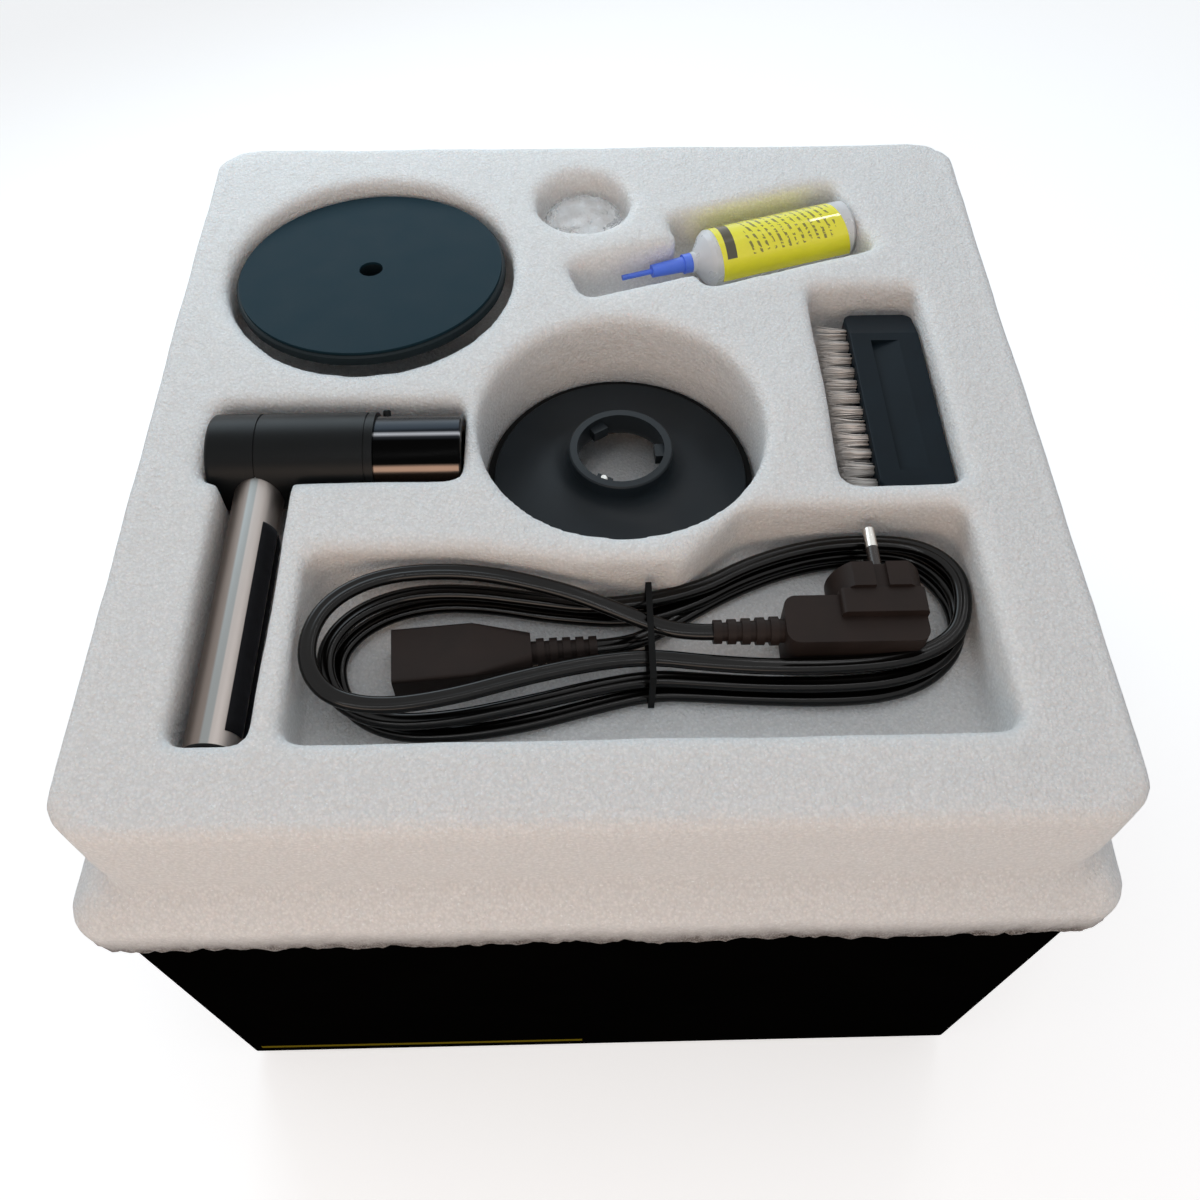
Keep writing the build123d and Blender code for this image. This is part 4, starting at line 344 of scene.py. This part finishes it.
def pin_finish():
    """Nickel pins with a dark moulded sleeve at the base."""
    material = moulded("pin_nickel", (0.62, 0.61, 0.58), 0.22, 0.6 * MM, 0.01 * MM, vary=0.05, metallic=1.0)
    tree = material.node_tree
    shader = tree.nodes["Principled BSDF"]
    place = tree.nodes["Texture Coordinate"].outputs["Object"]
    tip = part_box("schuko_pins")[1].y - PIN_BRIGHT
    bright = ranged(tree, axis_of(tree, place, "Y"), tip - 0.1 * MM, tip + 0.1 * MM)
    plain = shader.inputs["Base Color"].links[0].from_socket
    tree.links.new(mixed(tree, bright, PLUG_COLOUR, plain), shader.inputs["Base Color"])
    tree.links.new(bright, shader.inputs["Metallic"])
    return material


# painted shade and reflection on the tube: a tan left flank, painted shade reflected from the foam beside it,
# and a painted blue-grey reflection stripe in the middle, and where each ends across it, as shares of its
# width
TUBE_PAINTED_SHADE_TAN = (0.185, 0.155, 0.138)
TUBE_PAINTED_REFLECTION_BLUE = (0.235, 0.242, 0.238)
TUBE_PAINTED_SHADE_EDGE = (0.42, 0.46)
TUBE_PAINTED_REFLECTION_EDGE = (0.58, 0.61)


def tube_finish():
    """Drawn aluminium: scratches along its length, and along it a painted band of shade on its left flank and
    a painted blue-grey reflection stripe.
    """
    material = moulded("tube_grey", (0.36, 0.325, 0.305), 0.40, 0.35 * MM, 0.02 * MM, vary=0.1,
                       stretch=(1, 0.02, 1), metallic=1.0)
    tree = material.node_tree
    shader = tree.nodes["Principled BSDF"]
    place = tree.nodes["Texture Coordinate"].outputs["Object"]
    low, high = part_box("suction_tube")
    across = ranged(tree, axis_of(tree, place, "X"), low.x, high.x)
    plain = shader.inputs["Base Color"].links[0].from_socket
    # painted shade and painted reflection: bands set by place across the tube
    tone = mixed(tree, ranged(tree, across, *TUBE_PAINTED_SHADE_EDGE), TUBE_PAINTED_SHADE_TAN, TUBE_PAINTED_REFLECTION_BLUE)
    tone = mixed(tree, ranged(tree, across, *TUBE_PAINTED_REFLECTION_EDGE), tone, plain)
    tree.links.new(tone, shader.inputs["Base Color"])
    return material


# painted reflections on the dark chrome, as bands round the riser: degrees forward from straight up, and the
# colour there
CHROME_PAINTED_REFLECTIONS = (
    (-60, (0.010, 0.011, 0.014)), (4, (0.010, 0.012, 0.015)), (8, (0.42, 0.43, 0.46)),
    (12, (0.02, 0.022, 0.026)), (17, (0.002, 0.002, 0.002)), (48, (0.002, 0.002, 0.002)),
    (52, (0.10, 0.077, 0.065)), (56, (0.10, 0.077, 0.065)), (61, (0.022, 0.014, 0.010)),
    (80, (0.020, 0.014, 0.012)), (86, (0.04, 0.03, 0.025)), (90, (0.12, 0.095, 0.08)),
    (95, (0.05, 0.035, 0.028)), (170, (0.012, 0.010, 0.009)),
)


def chrome_finish():
    """Dark chrome with painted reflections in bands round the riser, streaked along it."""
    low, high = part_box("arm_riser")
    material, tree, shader, place = graph("arm_chrome")
    forward = maths(tree, "SUBTRACT", (low.y + high.y) / 2, axis_of(tree, place, "Y"))
    upward = maths(tree, "SUBTRACT", axis_of(tree, place, "Z"), (low.z + high.z) / 2)
    turn = maths(tree, "ARCTAN2", forward, upward)
    waves = grain(tree, stretched(tree, place, (0.1, 1, 1)), 9 * MM, 1)
    turn = maths(tree, "ADD", turn, maths(tree, "MULTIPLY", waves, 0.05))
    # painted reflections: the colour follows the angle round the riser
    ramp = tree.nodes.new("ShaderNodeValToRGB")
    first, last = CHROME_PAINTED_REFLECTIONS[0][0], CHROME_PAINTED_REFLECTIONS[-1][0]
    stops = ramp.color_ramp.elements
    for _ in CHROME_PAINTED_REFLECTIONS[2:]:
        stops.new(0.5)
    for stop, (degrees, colour) in zip(stops, CHROME_PAINTED_REFLECTIONS):
        stop.position = (degrees - first) / (last - first)
        stop.color = (*colour, 1)
    tree.links.new(ranged(tree, turn, math.radians(first), math.radians(last)), ramp.inputs["Fac"])
    tree.links.new(ramp.outputs["Color"], shader.inputs["Base Color"])
    shader.inputs["Metallic"].default_value = 1.0
    gloss = ranged(tree, grain(tree, place, 20 * MM), 0.3, 0.7, 0.18, 0.26)
    tree.links.new(gloss, shader.inputs["Roughness"])
    return material


def cord_finish():
    """Glossy black flex."""
    return moulded("cord_black", (0.0016, 0.0013, 0.0011), 0.17, 0.8 * MM, 0.008 * MM, vary=0.15,
                   rough_vary=0.03, specular=0.24)


def build_finishes():
    """One finish for each of the record's material slots."""
    return {
        "case_black": case_finish(),
        "zinc_steel": moulded("zinc_steel", (0.42, 0.42, 0.40), 0.42, 2 * MM, 0.02 * MM, metallic=1.0),
        "screw_black": moulded("screw_black", (0.010, 0.010, 0.010), 0.35, 0.5 * MM, 0.02 * MM, specular=0.3),
        "foot_rubber": moulded("foot_rubber", (0.006, 0.006, 0.006), 0.75, 0.6 * MM, 0.06 * MM, specular=0.1),
        "steel": moulded("steel", (0.60, 0.60, 0.58), 0.24, 0.5 * MM, 0.01 * MM, vary=0.1, metallic=1.0),
        "aluminium_cast": moulded("aluminium_cast", (0.50, 0.50, 0.50), 0.48, 1 * MM, 0.06 * MM,
                                  metallic=1.0),
        "black_plastic": moulded("black_plastic", (0.010, 0.010, 0.011), 0.5, specular=0.2),
        "hose_grey": moulded("hose_grey", (0.16, 0.16, 0.16), 0.6, 0.8 * MM, 0.05 * MM),
        "tank_white": moulded("tank_white", (0.62, 0.62, 0.58), 0.4, 1.5 * MM, 0.03 * MM, vary=0.05),
        "rocker_black": moulded("rocker_black", (0.008, 0.008, 0.009), 0.35, 0.6 * MM, 0.02 * MM,
                                specular=0.3),
        "hose_clear": film_finish("hose_clear", (0.70, 0.74, 0.72), 0.2, 5 * MM, 0.1 * MM, 0.75),
        "board_green": board_finish(),
        "wire_black": moulded("wire_black", (0.010, 0.010, 0.010), 0.45, 0.5 * MM, 0.02 * MM, specular=0.2),
        "foam_white": foam_finish(),
        "platter_black": moulded("platter_black", (0.008, 0.014, 0.017), 0.5, 0.6 * MM, 0.02 * MM, vary=0.08,
                                 specular=0.15),
        "mat_dark": moulded("mat_dark", (0.0075, 0.024, 0.034), 0.6, 0.4 * MM, 0.015 * MM, vary=0.04,
                            rough_vary=0.03, specular=0.07),
        "clamp_black": moulded("clamp_black", (0.0105, 0.0145, 0.018), 0.42, 0.7 * MM, 0.02 * MM, vary=0.1,
                               specular=0.2),
        "seal_rubber": moulded("seal_rubber", (0.005, 0.005, 0.005), 0.7, 0.5 * MM, 0.04 * MM, specular=0.1),
        "arm_black": moulded("arm_black", (0.0025, 0.0032, 0.0036), 0.36, 0.5 * MM, 0.02 * MM, vary=0.1,
                             rough_vary=0.03, specular=0.12),
        "tube_grey": tube_finish(),
        "velvet_black": velvet_finish(),
        "brush_black": moulded("brush_black", (0.0065, 0.0115, 0.016), 0.45, 0.5 * MM, 0.02 * MM, vary=0.1,
                               rough_vary=0.03, specular=0.08),
        "bristle_cream": moulded("bristle_cream", (0.93, 0.87, 0.82), 0.5, 0.5 * MM, 0.02 * MM, vary=0.06),
        "bottle_clear": film_finish("bottle_clear", (0.93, 0.93, 0.94), 0.25, 9 * MM, 0.1 * MM, 0.35),
        "label_yellow": label_finish(),
        "nozzle_blue": moulded("nozzle_blue", (0.085, 0.19, 0.82), 0.3, 1 * MM, 0.02 * MM, vary=0.12),
        "bag_clear": film_finish("bag_clear", (0.97, 0.98, 0.99), 0.05, 3.5 * MM, 0.5 * MM, 0.85, 1.2),
        "cord_black": cord_finish(),
        "plug_black": moulded("plug_black", PLUG_COLOUR, 0.5, 0.5 * MM, 0.03 * MM, vary=0.15, specular=0.12),
        "pin_nickel": pin_finish(),
        "tie_black": moulded("tie_black", (0.002, 0.002, 0.002), 0.5, 0.4 * MM, 0.02 * MM, specular=0.08),
    }


def dress_nodes(finishes):
    """The finish of each node's slot on that node, and chrome on the riser."""
    for node in nodes.values():
        for material_slot in node.material_slots:
            material_slot.material = finishes[material_slot.material.name.split(".")[0]]
    nodes["arm_riser"].material_slots[0].material = chrome_finish()


# ---------------------------------------------------------------- meshes
def link(name, mesh, material, smooth=True):
    piece = bpy.data.objects.new(name, mesh)
    bpy.context.scene.collection.objects.link(piece)
    mesh.materials.clear()
    mesh.materials.append(material)
    if smooth and isinstance(mesh, bpy.types.Mesh):
        mesh.polygons.foreach_set("use_smooth", [True] * len(mesh.polygons))
    return piece


def evaluated(piece):
    """The mesh that a piece's modifiers make."""
    graph_now = bpy.context.evaluated_depsgraph_get()
    return bpy.data.meshes.new_from_object(piece.evaluated_get(graph_now))


def welded_copy(node_name):
    """A node's mesh as a new object, with its split corners joined."""
    mesh = nodes[node_name].data.copy()
    work = bmesh.new()
    work.from_mesh(mesh)
    bmesh.ops.remove_doubles(work, verts=work.verts, dist=1e-5)
    work.to_mesh(mesh)
    work.free()
    copy = bpy.data.objects.new("copy_" + node_name, mesh)
    bpy.context.scene.collection.objects.link(copy)
    return copy


FOAM_NODES = ("foam_base", "foam_deep_sheet", "foam_pit_sheet")
FOAM_VOXEL = 2.3 * MM
FOAM_ROUNDING = 14
# the foam's unevenness, and what its torn edge adds: the size of the waves, their depth and the noise's seed
FOAM_WAVES = ((45 * MM, 0.8 * MM, 1), (9 * MM, 0.15 * MM, 2))
SHRED_WAVES = ((3.5 * MM, 1.1 * MM, 3), (9 * MM, 0.8 * MM, 4))
SHRED_TOP = 0.235           # the torn edge starts at this height and is full this far below it
SHRED_FADE = 0.008
SLAB_SWELL = 1.5 * MM       # the top sheets' sides swell by this much
SLAB_LOW = 0.262            # the swell starts at this height and is full this far above it
SLAB_FADE = 0.01
SIDE_OUT = 0.178            # and it starts this far out from the middle and is full this far past it
SIDE_FADE = 0.006


def wobble(points, size, depth, seed):
    """Smooth noise at each point, from -depth to depth."""
    offset = Vector((seed, 2.3 * seed, 5.1 * seed))
    return np.array([noise.noise(Vector(point) / size + offset) for point in points]) * depth


def build_foam(finish):
    """The three glued foam sheets as one soft-edged moulding."""
    copies = [welded_copy(name) for name in FOAM_NODES]
    for copy in copies[1:]:
        union = copies[0].modifiers.new("union", "BOOLEAN")
        union.operation = "UNION"
        union.solver = "EXACT"
        union.object = copy
    remesh = copies[0].modifiers.new("remesh", "REMESH")
    remesh.mode = "VOXEL"
    remesh.voxel_size = FOAM_VOXEL
    soften = copies[0].modifiers.new("soften", "SMOOTH")
    soften.factor = 0.5
    soften.iterations = FOAM_ROUNDING
    mesh = evaluated(copies[0])
    for copy in copies:
        bpy.data.objects.remove(copy)
    count = len(mesh.vertices)
    co = np.zeros(count * 3)
    normal = np.zeros(count * 3)
    mesh.vertices.foreach_get("co", co)
    mesh.vertices.foreach_get("normal", normal)
    co = co.reshape(-1, 3)
    normal = normal.reshape(-1, 3)
    shift = sum(wobble(co, *waves) for waves in FOAM_WAVES)
    toward_lower_edge = np.clip((SHRED_TOP - co[:, 2]) / SHRED_FADE, 0, 1)
    shift += toward_lower_edge * sum(wobble(co, *waves) for waves in SHRED_WAVES)
    outer = np.clip((np.abs(co[:, :2]).max(axis=1) - SIDE_OUT) / SIDE_FADE, 0, 1)
    sheet = np.clip((co[:, 2] - SLAB_LOW) / SLAB_FADE, 0, 1)
    shift += outer * sheet * SLAB_SWELL
    co += normal * shift[:, None]
    mesh.vertices.foreach_set("co", co.ravel())
    cap = link("foam_cap", mesh, finish)
    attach(cap, "tray")
    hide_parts(*FOAM_NODES)


# ---------------------------------------------------------------- mains cord
CORD_WIDTH = 6.8 * MM
CORD_HEIGHT = 4.3 * MM
# places along both ends, in millimetres: out of the connector, and into the plug
CONNECTOR_LEAD = ((-0.276, -100.43, 282.3), (9, -99.65, 282.3), (20, -95, 280.5))
PLUG_LEAD = ((2, -88, 294), (18, -95, 292.3), (32, -100.5, 292.3), (44, -100.5, 292.3))
# places round each loop of the hank, in millimetres: on its lowest turn, then on its highest
RIGHT_LOOP = (
    ((36, -83, 277.5), (40, -77, 285.5)),
    ((56, -71, 277.5), (62, -65, 287)),
    ((80, -61, 277.2), (88, -57.5, 288)),
    ((106, -56.5, 277.2), (112, -56.5, 289)),
    ((130, -59, 277.5), (132, -60, 290)),
    ((143.6, -77, 278), (143.6, -72, 291)),
    ((143.6, -97, 278), (144, -88, 291)),
    ((131, -113, 278), (138, -103, 290)),
    ((112, -121, 278), (120, -112, 289.5)),
    ((88, -122.6, 278), (96, -114.5, 289)),
    ((60, -121, 277.5), (66, -114.5, 289)),
    ((38, -119, 277.3), (40, -112, 289)),
    ((21, -118, 277), (21, -108.5, 288)),
)
LEFT_LOOP = (
    ((0, -123, 277.3), (0, -111, 289.5)),
    ((-28, -131, 277.8), (-28, -118.5, 292)),
    ((-55, -135, 278), (-55, -128, 294.5)),
    ((-78, -134, 278), (-80, -133, 297)),
    ((-94, -125, 278.5), (-98, -130, 300)),
    ((-101, -111, 279.5), (-107, -118, 302)),
    ((-100, -97, 280), (-107.3, -102, 302.5)),
    ((-87, -84, 280), (-100, -88, 302)),
    ((-66, -77.5, 280), (-84, -78, 301)),
    ((-42, -78.5, 279.5), (-62, -75, 300)),
    ((-18, -83, 278.5), (-40, -76.5, 299)),
    ((14, -86, 278), (-14, -82.5, 296.5)),
)
TURN_LIFTS = (0.0, 0.42, 1.0)       # how high each turn lies between those two
CORE_STEPS = 10                     # sides round each core of the flex


def cord_route():
    """The cord from the connector, round three turns of the hank, to the plug."""
    route = [Vector(point) for point in CONNECTOR_LEAD]
    for lift in TURN_LIFTS:
        for low, high in RIGHT_LOOP + LEFT_LOOP:
            route.append(Vector(low).lerp(Vector(high), lift))
    return route + [Vector(point) for point in PLUG_LEAD]


def cord_section():
    """Flat twin flex: two round cores side by side."""
    core = CORD_HEIGHT / 2
    aside = (CORD_WIDTH - CORD_HEIGHT) / 2
    half_turn = math.pi - math.acos(aside / core)
    points = []
    for facing in (0, math.pi):
        for step in range(CORE_STEPS):
            angle = facing - half_turn + 2 * half_turn * step / CORE_STEPS
            points.append((math.cos(facing) * aside + core * math.cos(angle), core * math.sin(angle)))
    outline = bpy.data.curves.new("cord_section", "CURVE")
    spline = outline.splines.new("POLY")
    spline.points.add(len(points) - 1)
    for spot, (across, up) in zip(spline.points, points):
        spot.co = (across, up, 0, 1)
    spline.use_cyclic_u = True
    section = bpy.data.objects.new("cord_section", outline)
    bpy.context.scene.collection.objects.link(section)
    section.hide_render = True
    return section


def build_cord(finish):
    """The whole lead as one open NURBS line."""
    route = cord_route()
    line = bpy.data.curves.new("mains_lead", "CURVE")
    line.dimensions = "3D"
    spline = line.splines.new("NURBS")
    spline.points.add(len(route) - 1)
    for spot, point in zip(spline.points, route):
        spot.co = (*(point * MM), 1)
    spline.order_u = 3
    spline.use_endpoint_u = True
    spline.resolution_u = 6
    line.twist_mode = "Z_UP"
    line.bevel_mode = "OBJECT"
    line.bevel_object = cord_section()
    line.use_fill_caps = True
    cord = link("mains_lead", line, finish)
    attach(cord, "mains_cord")
    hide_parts("cord_hank", "plug_lead", "connector_lead")


# ---------------------------------------------------------------- brush
TUFT_COUNT = 12
TUFT_ROWS = 3
TUFT_R = 3.1 * MM
TUFT_ROOT = 3 * MM          # how deep the hairs start in the handle
HAIRS = 46                  # in each tuft
HAIR_R = 0.256 * MM
HAIR_ANGLES = (0, 2.094, 4.189)     # a hair is three-sided
HAIR_TIP = 0.45             # its tip's radius, as a share of its own
HAIR_SPREAD = 0.92          # how far out the outermost hairs start, as a share of the tuft's radius
HAIR_BOW = 0.3              # how far in a hair's middle lies, as a share of its flare
HAIR_FLARE = 1.25           # in millimetres: how much further out the outermost hairs end
HAIR_UNEVEN = 1.6           # the most that a hair falls short by
HAIR_STRAY = 0.6            # the most that its end lies to either side


def add_hair(work, rng, root, full_length):
    """One hair of a tuft, from somewhere round the tuft's root towards -X."""
    angle = rng.uniform(0, 2 * math.pi)
    reach = math.sqrt(rng.uniform(0, 1))
    side = Vector((0, math.cos(angle), math.sin(angle)))
    start = root + side * reach * TUFT_R * HAIR_SPREAD
    length = full_length - rng.uniform(0, HAIR_UNEVEN) * MM
    flare = reach * HAIR_FLARE * MM
    end = start + Vector((-length, 0, 0)) + side * flare
    end += Vector((0, rng.uniform(-HAIR_STRAY, HAIR_STRAY), rng.uniform(-HAIR_STRAY, HAIR_STRAY))) * MM
    middle = (start + end) / 2 - side * flare * HAIR_BOW
    rings = []
    for spot, share in ((start, 1.0), (middle, 1.0), (end, HAIR_TIP)):
        corners = [Vector((0, math.cos(a), math.sin(a))) * HAIR_R * share for a in HAIR_ANGLES]
        rings.append([work.verts.new(spot + corner) for corner in corners])
    for near, far in zip(rings, rings[1:]):
        for corner in range(len(near)):
            following = (corner + 1) % len(near)
            work.faces.new((near[corner], near[following], far[following], far[corner]))
    work.faces.new(rings[-1])
    work.faces.new(rings[0][::-1])


def build_bristles(finish):
    """Every tuft as single hairs that flare towards their ends."""
    low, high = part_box("brush_tufts")
    rng = random.Random(7)
    work = bmesh.new()
    base_x = high.x - TUFT_ROOT
    first_y = low.y + TUFT_R
    pitch_y = (high.y - low.y - 2 * TUFT_R) / (TUFT_COUNT - 1)
    first_z = low.z + TUFT_R
    pitch_z = (high.z - low.z - 2 * TUFT_R) / (TUFT_ROWS - 1)
    for row in range(TUFT_ROWS):
        for tuft in range(TUFT_COUNT):
            centre = Vector((base_x, first_y + tuft * pitch_y, first_z + row * pitch_z))
            for _ in range(HAIRS):
                add_hair(work, rng, centre, base_x - low.x)
    mesh = bpy.data.meshes.new("bristles")
    work.to_mesh(mesh)
    work.free()
    piece = link("bristles", mesh, finish)
    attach(piece, "brush")
    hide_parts("brush_tufts")


# ---------------------------------------------------------------- bottle label
BOTTLE_V = 88.3 * MM        # the bottle's axis, across
BOTTLE_R = 13.5 * MM
LABEL_T = 0.25 * MM
LABEL_GAP = 0.02 * MM       # the label's underside over the bottle
LABEL_HALF_TURN = math.radians(110)
LABEL_STARTS = (88.3 * MM, 91.5 * MM)       # the label's ends on its back edge and its front edge
LABEL_ENDS = (147.5 * MM, 158.5 * MM)
LABEL_STEPS = 44


def build_label(finish):
    """The label, wrapped a little askew."""
    low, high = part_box("bottle_body")
    middle_z = (low.z + high.z) / 2
    along = Vector((math.cos(LABEL_TURN), math.sin(LABEL_TURN), 0))
    across = Vector((-along.y, along.x, 0))
    points = []
    for radius in (BOTTLE_R + LABEL_T, BOTTLE_R + LABEL_GAP):
        for row in range(LABEL_STEPS + 1):
            share = row / LABEL_STEPS
            angle = LABEL_HALF_TURN * (1 - 2 * share)
            start = LABEL_STARTS[0] + (LABEL_STARTS[1] - LABEL_STARTS[0]) * share
            end = LABEL_ENDS[0] + (LABEL_ENDS[1] - LABEL_ENDS[0]) * share
            rise = Vector((0, 0, middle_z + radius * math.cos(angle)))
            out = across * (BOTTLE_V + radius * math.sin(angle)) + rise
            points += [tuple(along * start + out), tuple(along * end + out)]
    inner = 2 * (LABEL_STEPS + 1)
    faces = []
    for row in range(LABEL_STEPS):
        a, b, c, d = 2 * row, 2 * row + 1, 2 * row + 3, 2 * row + 2
        faces += [(a, b, c, d), (a + inner, d + inner, c + inner, b + inner)]
        faces += [(a, d, d + inner, a + inner), (b, b + inner, c + inner, c)]
    last = 2 * LABEL_STEPS
    faces += [(0, inner, inner + 1, 1), (last, last + 1, last + 1 + inner, last + inner)]
    mesh = bpy.data.meshes.new("label_wrap")
    mesh.from_pydata(points, [], faces)
    piece = link("label_wrap", mesh, finish, smooth=False)
    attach(piece, "bottle")
    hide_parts("bottle_label")


# ---------------------------------------------------------------- velvet
VELVET_ANGLES = (6, 52)     # each pad's edges, in degrees up or down from the tube's right side
VELVET_LIFT = 0.05 * MM     # the pad's underside over the tube
VELVET_PILE = 1.5 * MM
VELVET_EDGE = 0.25 * MM     # the pile's height at the pad's edges
VELVET_PAST = 10 * MM       # the pile reaches this far back past the CAD's strips
VELVET_ROUND = 4 * MM       # the ends round off over this length
VELVET_ROWS = 90
VELVET_STEPS = 14
VELVET_UNEVEN = 0.22 * MM
VELVET_GRAIN = 400          # waves of that unevenness to a metre


def build_velvet(finish):
    """Two pads of pile along the tube's slot, crowned across and rounded at their ends."""
    low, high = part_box("suction_tube")
    strips_low, strips_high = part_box("velvet_strips")
    middle = (low + high) / 2
    inner = (high.x - low.x) / 2 + VELVET_LIFT
    start, length = strips_low.y, strips_high.y + VELVET_PAST - strips_low.y
    near, far = (math.radians(angle) for angle in VELVET_ANGLES)
    ring = 2 * (VELVET_STEPS + 1)
    points, faces = [], []
    for side in (1, -1):
        first = len(points)
        for row in range(VELVET_ROWS + 1):
            along = length * row / VELVET_ROWS
            swell = math.sin(min(1, min(along, length - along) / VELVET_ROUND) * math.pi / 2)
            outer_ring, inner_ring = [], []
            for step in range(VELVET_STEPS + 1):
                share = step / VELVET_STEPS
                angle = side * (near + (far - near) * share)
                crown = (1 - abs(2 * share - 1) ** 4) * swell
                out = Vector((math.cos(angle), 0, math.sin(angle)))
                foot = Vector((middle.x, start + along, middle.z)) + out * inner
                uneven = VELVET_UNEVEN * noise.noise(foot * VELVET_GRAIN) * crown
                pile = VELVET_EDGE + (VELVET_PILE - VELVET_EDGE) * crown + uneven
                outer_ring.append(tuple(foot + out * pile))
                inner_ring.append(tuple(foot))
            points += outer_ring + inner_ring[::-1]
        for row in range(VELVET_ROWS):
            for step in range(ring):
                a, b = first + row * ring + step, first + row * ring + (step + 1) % ring
                faces.append((a, b, b + ring, a + ring))
        last = first + VELVET_ROWS * ring
        faces += [tuple(range(first, first + ring)), tuple(range(last, last + ring))]
    work = bmesh.new()
    vertices = [work.verts.new(point) for point in points]
    for face in faces:
        work.faces.new([vertices[index] for index in face])
    bmesh.ops.recalc_face_normals(work, faces=work.faces)
    mesh = bpy.data.meshes.new("velvet_pile")
    work.to_mesh(mesh)
    work.free()
    piece = link("velvet_pile", mesh, finish)
    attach(piece, "suction_arm")
    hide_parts("velvet_strips")


# ---------------------------------------------------------------- bag
BAG_SEED = Vector((3, 1, 4))
BAG_FOLDS = 2.1             # how close the folds and the fine creases lie
BAG_CREASES = 4.7
BAG_CREASE_SHARE = 0.55     # the creases' depth, as a share of the folds'
BAG_DEPTH = 0.26            # how far the folds reach in, as a share of the bag
BAG_FLAT = 0.9              # the bag's height, as a share of the CAD solid's


def build_bag(finish):
    """A small crumpled bag of clear film."""
    low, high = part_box("parts_bag")
    centre = (low + high) / 2
    half = (high - low) / 2
    work = bmesh.new()
    bmesh.ops.create_icosphere(work, subdivisions=5, radius=1)
    for vertex in work.verts:
        way = vertex.co.normalized()
        folds = abs(noise.noise(way * BAG_FOLDS + BAG_SEED))
        creases = abs(noise.noise(way * BAG_CREASES))
        size = 1.0 - BAG_DEPTH * (folds + BAG_CREASE_SHARE * creases)
        flat = Vector((way.x, way.y, way.z * BAG_FLAT))
        vertex.co = centre + flat * half * size
    mesh = bpy.data.meshes.new("bag_film")
    work.to_mesh(mesh)
    work.free()
    piece = link("bag_film", mesh, finish)
    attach(piece, "small_parts")
    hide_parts("parts_bag")


# ---------------------------------------------------------------- studio
FLOOR_HALF = 3.0
FLOOR_GLOW = 0.5            # what the floor adds to itself where it shows as backdrop
WORLD_LIGHT = 0.41          # the world's strength as a lamp; it shows at 1
WORLD_TINT = (0.88, 0.94, 1.0)
# name, place, target, size, power in watts, colour
LAMPS = (
    ("window", (-0.22, 0.56, 0.62), (-0.02, 0.12, 0.3), (0.7, 0.4), 2.7, (0.74, 0.90, 1.0)),
    ("strip", (0.12, -0.05, 1.35), (0.05, 0, 0.3), (1.7, 0.03), 2.0, (0.97, 0.98, 1.0)),
    ("front_fill", (-0.15, -0.95, 0.72), (0, -0.15, 0.25), (0.7, 0.4), 2.9, (1.0, 0.74, 0.56)),
)


def backdrop_seen(tree):
    """1 for the rays that show the backdrop itself, to the camera, in gloss or through glass."""
    path = tree.nodes.new("ShaderNodeLightPath")
    seen = maths(tree, "MAXIMUM", path.outputs["Is Camera Ray"], path.outputs["Is Glossy Ray"])
    return maths(tree, "MAXIMUM", seen, path.outputs["Is Transmission Ray"])


def build_floor():
    mesh = bpy.data.meshes.new("floor")
    corners = [(x * FLOOR_HALF, y * FLOOR_HALF, 0) for x, y in ((-1, -1), (1, -1), (1, 1), (-1, 1))]
    mesh.from_pydata(corners, [], [(0, 1, 2, 3)])
    material, tree, shader, _ = graph("floor")
    seen = backdrop_seen(tree)
    shader.inputs["Base Color"].default_value = (0.86, 0.86, 0.86, 1)
    shader.inputs["Roughness"].default_value = 0.9
    shader.inputs["Emission Color"].default_value = (1, 1, 1, 1)
    tree.links.new(maths(tree, "MULTIPLY", seen, FLOOR_GLOW), shader.inputs["Emission Strength"])
    floor = link("floor", mesh, material, smooth=False)


def build_world():
    world = bpy.data.worlds.new("studio")
    bpy.context.scene.world = world
    world.use_nodes = True
    tree = world.node_tree
    background = tree.nodes["Background"]
    seen = backdrop_seen(tree)
    tree.links.new(mixed(tree, seen, WORLD_TINT, (1.0, 1.0, 1.0)), background.inputs["Color"])
    tree.links.new(ranged(tree, seen, 0, 1, WORLD_LIGHT, 1.0), background.inputs["Strength"])


def area_light(name, place, target, size, power, colour):
    lamp = bpy.data.lights.new(name, "AREA")
    lamp.shape = "RECTANGLE"
    lamp.size, lamp.size_y = size
    lamp.energy = power
    lamp.color = colour
    light = bpy.data.objects.new(name, lamp)
    light.location = place
    light.rotation_euler = (Vector(target) - Vector(place)).to_track_quat("-Z", "Y").to_euler()
    bpy.context.scene.collection.objects.link(light)


def build_lights():
    for lamp in LAMPS:
        area_light(*lamp)


# ---------------------------------------------------------------- the scene
add_camera()
finishes = build_finishes()
dress_nodes(finishes)
build_foam(finishes["foam_white"])
build_cord(finishes["cord_black"])
build_bristles(finishes["bristle_cream"])
build_label(finishes["label_yellow"])
build_velvet(finishes["velvet_black"])
build_bag(finishes["bag_clear"])
build_floor()
build_world()
build_lights()

bpy.context.scene.view_settings.view_transform = "Standard"
bpy.context.view_layer.update()
